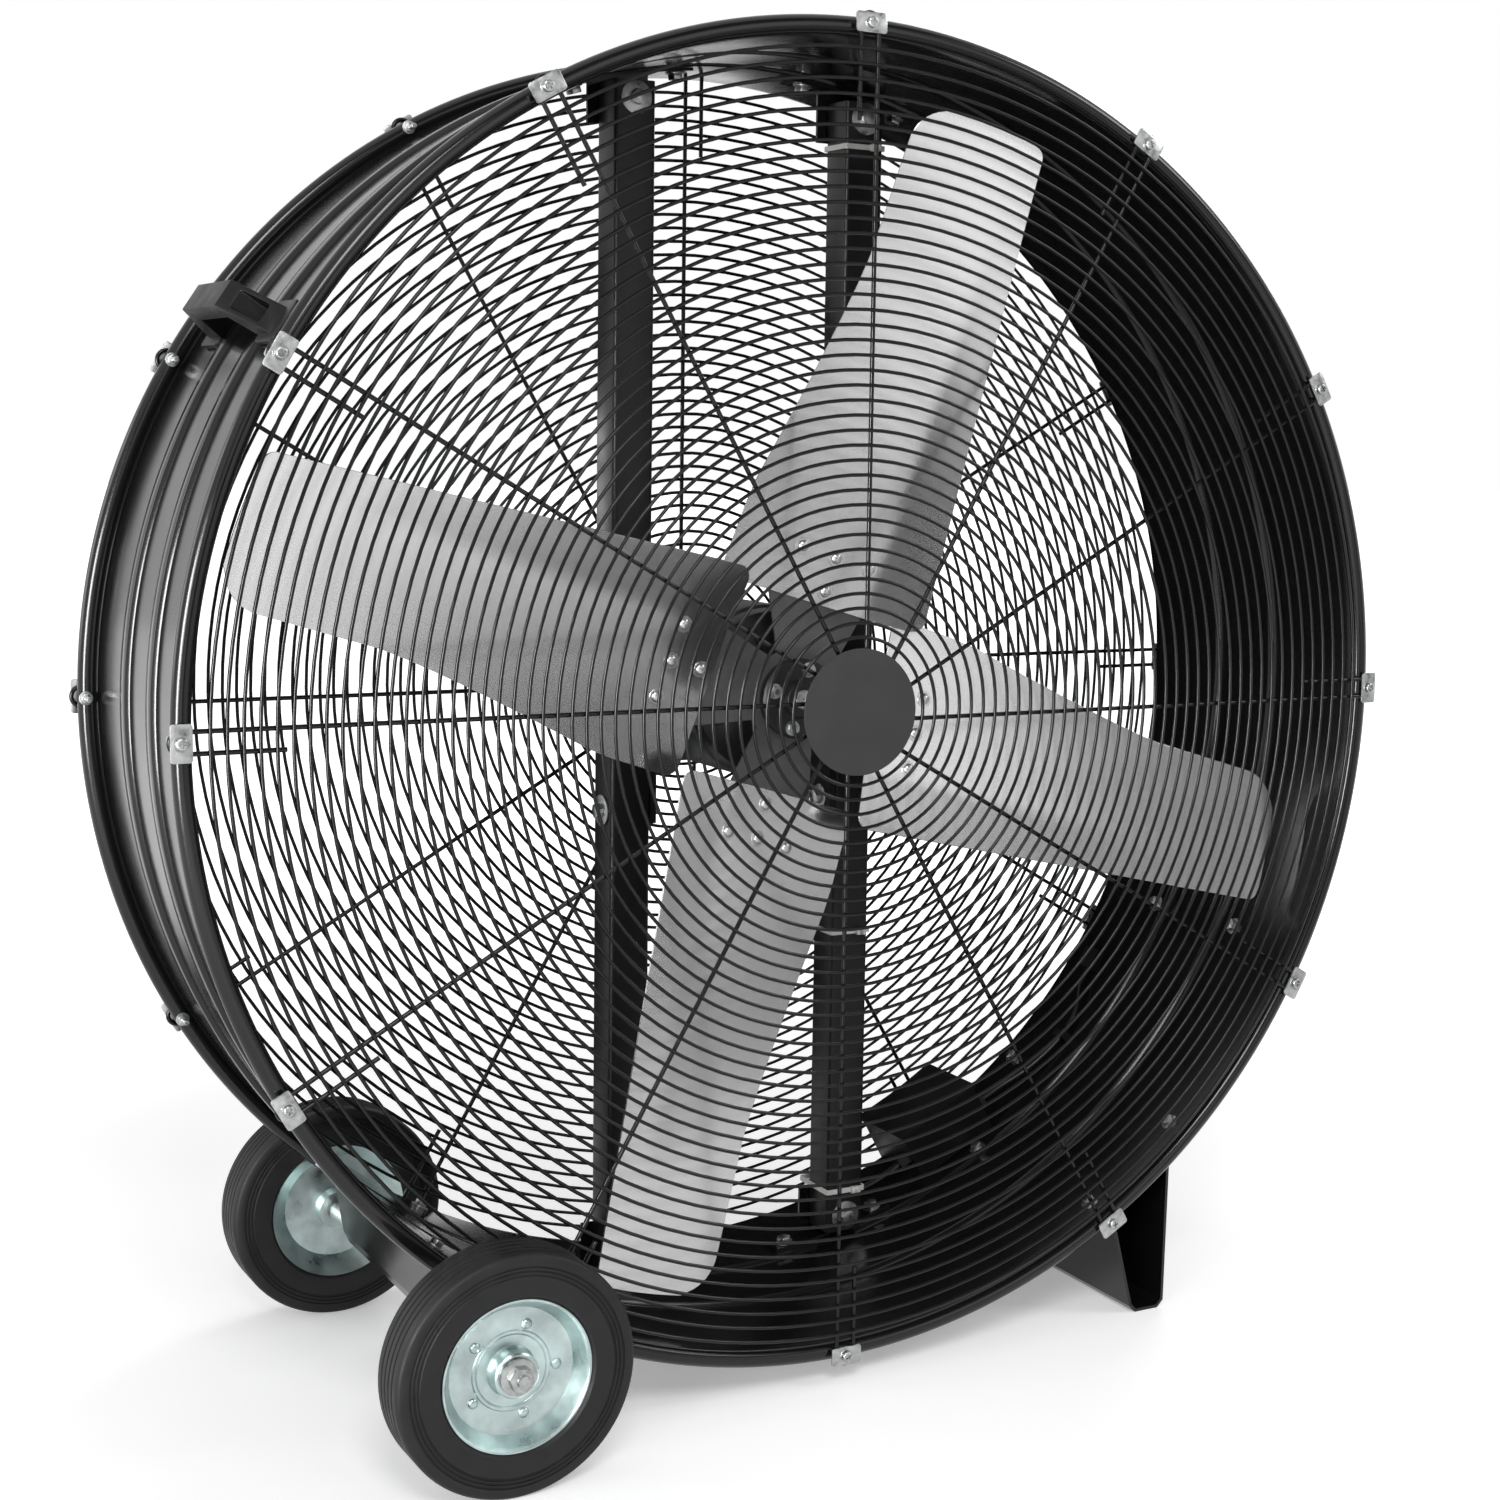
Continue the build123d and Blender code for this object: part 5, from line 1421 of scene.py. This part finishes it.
class DRUMFAN_OT_wiring(bpy.types.Operator):
    """Runs the two cables with their ties, clip, boxes, grommet and switch"""

    bl_idname = "drumfan.wiring"
    bl_label = "Wiring"

    def execute(self, context):
        sizes = context.scene.drum_fan_sizes
        motor_lead = cable("motor_lead", MOTOR_ROUTE, sizes.motor_cable)
        dress(motor_lead, "jacket", "drum", "cable_jacket", "motor_cable")
        switch_lead = cable("switch_lead", SWITCH_ROUTE, sizes.switch_cable)
        dress(switch_lead, "jacket", "drum", "cable_jacket", "switch_cable")

        tie_low, tie_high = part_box("cable_ties")
        post_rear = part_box("right_post")[1].y
        front, sheet, band = tie_low.y, 1.5 * MM, 4.8 * MM
        middle_x = (tie_low.x + tie_high.x) / 2
        head_x = middle_x + 9 * MM
        bands = []
        low_tie, high_tie = tie_low.z + band / 2, tie_high.z - band / 2
        middle_tie = AXIS_HEIGHT - 247 * MM
        # The highest tie goes round the post alone; the lower two also hold the cable.
        for height, back in (
            (low_tie, tie_high.y),
            (middle_tie, tie_high.y),
            (high_tie, post_rear + 2 * MM),
        ):
            size = (tie_high.x - tie_low.x, back - front, band)
            loop = block("tie", size, (middle_x, (front + back) / 2, height), 3 * MM, 4)
            edit(loop)
            choose(loop, "faces", faces_up_or_down)
            bpy.ops.mesh.inset(thickness=sheet)
            bpy.ops.mesh.delete(type="FACE")
            choose(loop, "edges", lambda edge: edge.is_boundary)
            bpy.ops.mesh.bridge_edge_loops()
            bpy.ops.object.mode_set(mode="OBJECT")
            head_place = (head_x, front - 1.5 * MM, height)
            head = rounded(block("head", (8 * MM, 5 * MM, 7 * MM), head_place), 0.8 * MM)
            tail_place = (head_x, front - 7 * MM, height)
            tail = rounded(block("tail", (2.5 * MM, 9 * MM, 4 * MM), tail_place), 0.5 * MM, 1)
            bands += [tidy_mesh(loop), head, tail]
        ties = smooth(joined("tie_bands", bands))
        dress(ties, "nylon", "drum", "tie_nylon", "cable_ties")

        for node, edge in (
            ("junction_box", 2.0),
            ("junction_box_lid", 1.2),
            ("cable_glands", 0.8),
            ("inlet_gland", 0.8),
            ("cable_clip", 0.3),
            ("wall_grommet", 2.0),
            ("speed_switch_housing", 1.5),
            ("speed_knob", 0.8),
        ):
            paint_node(node, "plastic", edge)
        return {"FINISHED"}


# Boards that only reflections see stand for the room round the fan. Each row gives a name, a
# place and a size in metres, a tone, a strength and a pose. At strength 1 a board looks as its
# tone says; a board above 1 is a lamp or a lit patch, which black enamel and thin wire show as
# a narrow highlight because they send back only a small share of it.
BOARDS = (
    ("rear_flag", (0.2, 0.8, 0.55), (1.6, 1.1), "#141414", 1, "upright"),
    ("rear_floor_flag", (0.8, 1.1, 0.01), (1.6, 1.6), "#1c1c1c", 1, "flat"),
    ("rear_glint", (-0.39, 0.78, 0.78), (0.09, 0.18), "#ffffff", 14, "upright"),
    ("front_flag", (-0.115, -3.0, 0.93), (0.99, 0.96), "#1c1c1c", 1, "upright"),
    ("front_foot_flag", (-0.185, -3.0, 0.27), (0.85, 0.36), "#1c1c1c", 1, "upright"),
    ("front_low_flag", (0.95, -3.01, 0.1), (1.3, 0.8), "#dadada", 1, "upright"),
    ("front_glow", (1.16, -3.05, 1.35), (1.36, 1.2), "#ffffff", 1.6, "upright"),
    # Painted shade: this grey patch stands for the fan's shadow on the floor beside its foot, as
    # reflections see it.
    ("near_floor_flag", (0.45, -1.02, 0.013), (0.5, 0.46), "#707070", 1, "flat"),
    ("mid_floor_flag", (0.55, -1.42, 0.011), (0.7, 0.34), "#c4c4c4", 1, "flat"),
    ("right_floor_flag", (2.05, -1.95, 0.01), (2.5, 2.1), "#b2b2b2", 1, "flat"),
    ("floor_glow", (0.05, -1.95, 0.012), (0.7, 0.5), "#ffffff", 1.5, "flat"),
    ("left_glow", (-2.7, -1.7, 0.65), (0.7, 1.3), "#ffffff", 40, "turned"),
    ("left_flag", (-2.6, -2.9, 1.2), (1.4, 2.6), "#3a3a3a", 1, "turned"),
    ("top_flag", (0.4, -2.6, 3.6), (5.0, 2.4), "#505050", 1, "turned"),
    ("right_flag", (3.25, -3.02, 1.6), (2.8, 2.8), "#a2a2a2", 1, "upright"),
)
# The lamps: name, place and size in metres, power in watts.
LAMPS = (
    ("key_softbox", (-1.2, -3.0, 2.9), 1.1, 56),
    ("left_softbox", (-2.3, -2.0, 0.9), 0.8, 20),
    ("rear_left_softbox", (-3.0, 1.5, 1.4), 1.6, 24),
    ("right_fill", (2.9, -2.0, 2.6), 1.2, 30),
    ("rear_softbox", (3.0, 2.6, 2.4), 1.6, 40),
)
BLACK, WHITE = (0, 0, 0, 1), (1, 1, 1, 1)


def larger_of(tree, *sockets):
    """The larger of two values."""
    made = add_node(tree, "ShaderNodeMath", {"operation": "MAXIMUM"})
    for number, socket in enumerate(sockets):
        tree.links.new(socket, made.inputs[number])
    return made.outputs["Value"]


def turned_to(aim, place, axis):
    """Euler angles that point an axis of something at a place towards an aim."""
    return (aim - Vector(place)).to_track_quat(axis, "Y").to_euler()


class DRUMFAN_OT_studio(bpy.types.Operator):
    """Lays the pale floor, hangs the soft lamps and sets the camera at the photograph's angle"""

    bl_idname = "drumfan.studio"
    bl_label = "Studio"

    def execute(self, context):
        colours = context.scene.drum_fan_colours
        deselect()
        bpy.ops.mesh.primitive_plane_add(size=60)
        floor = context.object
        floor.name = "studio_floor"
        made, tree, shader = start_finish(
            "studio_floor", colours.floor, metallic=0, roughness=0.9, Specular_IOR_Level=0.0
        )
        shader.inputs["Emission Color"].default_value = WHITE
        # The camera and reflections see the floor glow, least under the fan, where the shadows are.
        path = add_node(tree, "ShaderNodeLightPath")
        seen = larger_of(tree, path.outputs["Is Camera Ray"], path.outputs["Is Glossy Ray"])
        coordinates = add_node(tree, "ShaderNodeTexCoord")
        away = add_node(tree, "ShaderNodeVectorMath", {"operation": "LENGTH"})
        tree.links.new(coordinates.outputs["Object"], away.inputs[0])
        reach = {"From Min": 1.0, "From Max": 3.4, "To Min": 0.32, "To Max": 1.0}
        rise = add_node(tree, "ShaderNodeMapRange", reach, Value=away.outputs["Value"])
        glow = add_node(tree, "ShaderNodeMath", {"operation": "MULTIPLY"})
        tree.links.new(seen, glow.inputs[0])
        tree.links.new(rise.outputs["Result"], glow.inputs[1])
        tree.links.new(glow.outputs["Value"], shader.inputs["Emission Strength"])
        floor.data.materials.append(made)

        world = bpy.data.worlds.new("studio")
        context.scene.world = world
        world.use_nodes = True
        tree = world.node_tree
        background = tree.nodes["Background"]
        background.inputs["Color"].default_value = WHITE
        # The room looks white, but lights the fan less than that.
        path = add_node(tree, "ShaderNodeLightPath")
        seen = larger_of(tree, path.outputs["Is Camera Ray"], path.outputs["Is Glossy Ray"])
        through = larger_of(tree, seen, path.outputs["Is Transmission Ray"])
        levels = {"To Min": 0.45, "To Max": 1.0}
        level = add_node(tree, "ShaderNodeMapRange", levels, Value=through)
        tree.links.new(level.outputs["Result"], background.inputs["Strength"])

        aim = Vector((0, 0, AXIS_HEIGHT))
        for name, place, size, tone, strength, pose in BOARDS:
            deselect()
            bpy.ops.mesh.primitive_plane_add(size=1, location=place)
            board = context.object
            board.name = name
            board.scale = (*size, 1)
            if pose == "turned":
                board.rotation_euler = turned_to(aim, place, "Z")
            if pose == "upright":
                board.rotation_euler = (pi / 2, 0, 0)
            paint, tree, shader = start_finish(
                name, BLACK, metallic=0, roughness=1.0, Specular_IOR_Level=0.0
            )
            shader.inputs["Emission Color"].default_value = linear(tone)
            shader.inputs["Emission Strength"].default_value = strength
            board.data.materials.append(paint)
            board.visible_camera = False
            board.visible_diffuse = False
            board.visible_shadow = False
        for name, place, size, power in LAMPS:
            bpy.ops.object.light_add(type="AREA", location=place)
            lamp = context.object
            lamp.name = name
            lamp.data.size = size
            lamp.data.energy = power
            lamp.rotation_euler = turned_to(aim, place, "-Z")

        bpy.ops.object.camera_add(location=CAMERA_PLACE)
        camera = context.object
        camera.name = "studio_camera"
        # The photograph's camera, in radians and in pixels of the photograph.
        yaw, pitch, roll = 0.5316, 0.1228, 0.0203
        sight = Vector((sin(yaw) * cos(pitch), cos(yaw) * cos(pitch), -sin(pitch)))
        level = sight.to_track_quat("-Z", "Y").to_matrix()
        camera.rotation_euler = (level @ Matrix.Rotation(roll, 3, "Z")).to_euler()
        focal_px, photo_px = 2383.44, 1500
        centre_x_px, centre_y_px = 877.9, 727.5
        sensor_mm = 36
        camera.data.sensor_width = sensor_mm
        camera.data.lens = sensor_mm * focal_px / photo_px
        camera.data.shift_x = (photo_px / 2 - centre_x_px) / photo_px
        camera.data.shift_y = (centre_y_px - photo_px / 2) / photo_px
        context.scene.camera = camera
        context.scene.view_settings.view_transform = "Standard"
        return {"FINISHED"}


OPERATORS = (
    DRUMFAN_OT_shell,
    DRUMFAN_OT_guards,
    DRUMFAN_OT_clips,
    DRUMFAN_OT_posts,
    DRUMFAN_OT_wall_bolts,
    DRUMFAN_OT_motor,
    DRUMFAN_OT_blades,
    DRUMFAN_OT_rotor_parts,
    DRUMFAN_OT_wheels,
    DRUMFAN_OT_stand,
    DRUMFAN_OT_handles,
    DRUMFAN_OT_wiring,
    DRUMFAN_OT_studio,
)


class DRUMFAN_PT_panel(bpy.types.Panel):
    """Lists the fan's operators, sizes and colours"""

    bl_idname = "DRUMFAN_PT_panel"
    bl_label = "Drum Fan"
    bl_space_type = "VIEW_3D"
    bl_region_type = "UI"
    bl_category = "Drum Fan"

    def draw(self, context):
        layout = self.layout
        for operator in OPERATORS:
            layout.operator(operator.bl_idname)
        for group in (context.scene.drum_fan_sizes, context.scene.drum_fan_colours):
            box = layout.box()
            for key in group.__annotations__:
                box.prop(group, key)


CLASSES = (DrumFanSizes, DrumFanColours, *OPERATORS, DRUMFAN_PT_panel)


def register():
    for made in CLASSES:
        bpy.utils.register_class(made)
    bpy.types.Scene.drum_fan_sizes = bpy.props.PointerProperty(type=DrumFanSizes)
    bpy.types.Scene.drum_fan_colours = bpy.props.PointerProperty(type=DrumFanColours)


def unregister():
    del bpy.types.Scene.drum_fan_colours
    del bpy.types.Scene.drum_fan_sizes
    for made in reversed(CLASSES):
        bpy.utils.unregister_class(made)


def main():
    """Builds the stage and every piece in order."""
    register()
    make_finishes(bpy.context.scene.drum_fan_colours)
    bpy.ops.drumfan.studio()
    for operator in OPERATORS[:-1]:
        group, name = operator.bl_idname.split(".")
        getattr(getattr(bpy.ops, group), name)()


if __name__ == "__main__":
    main()
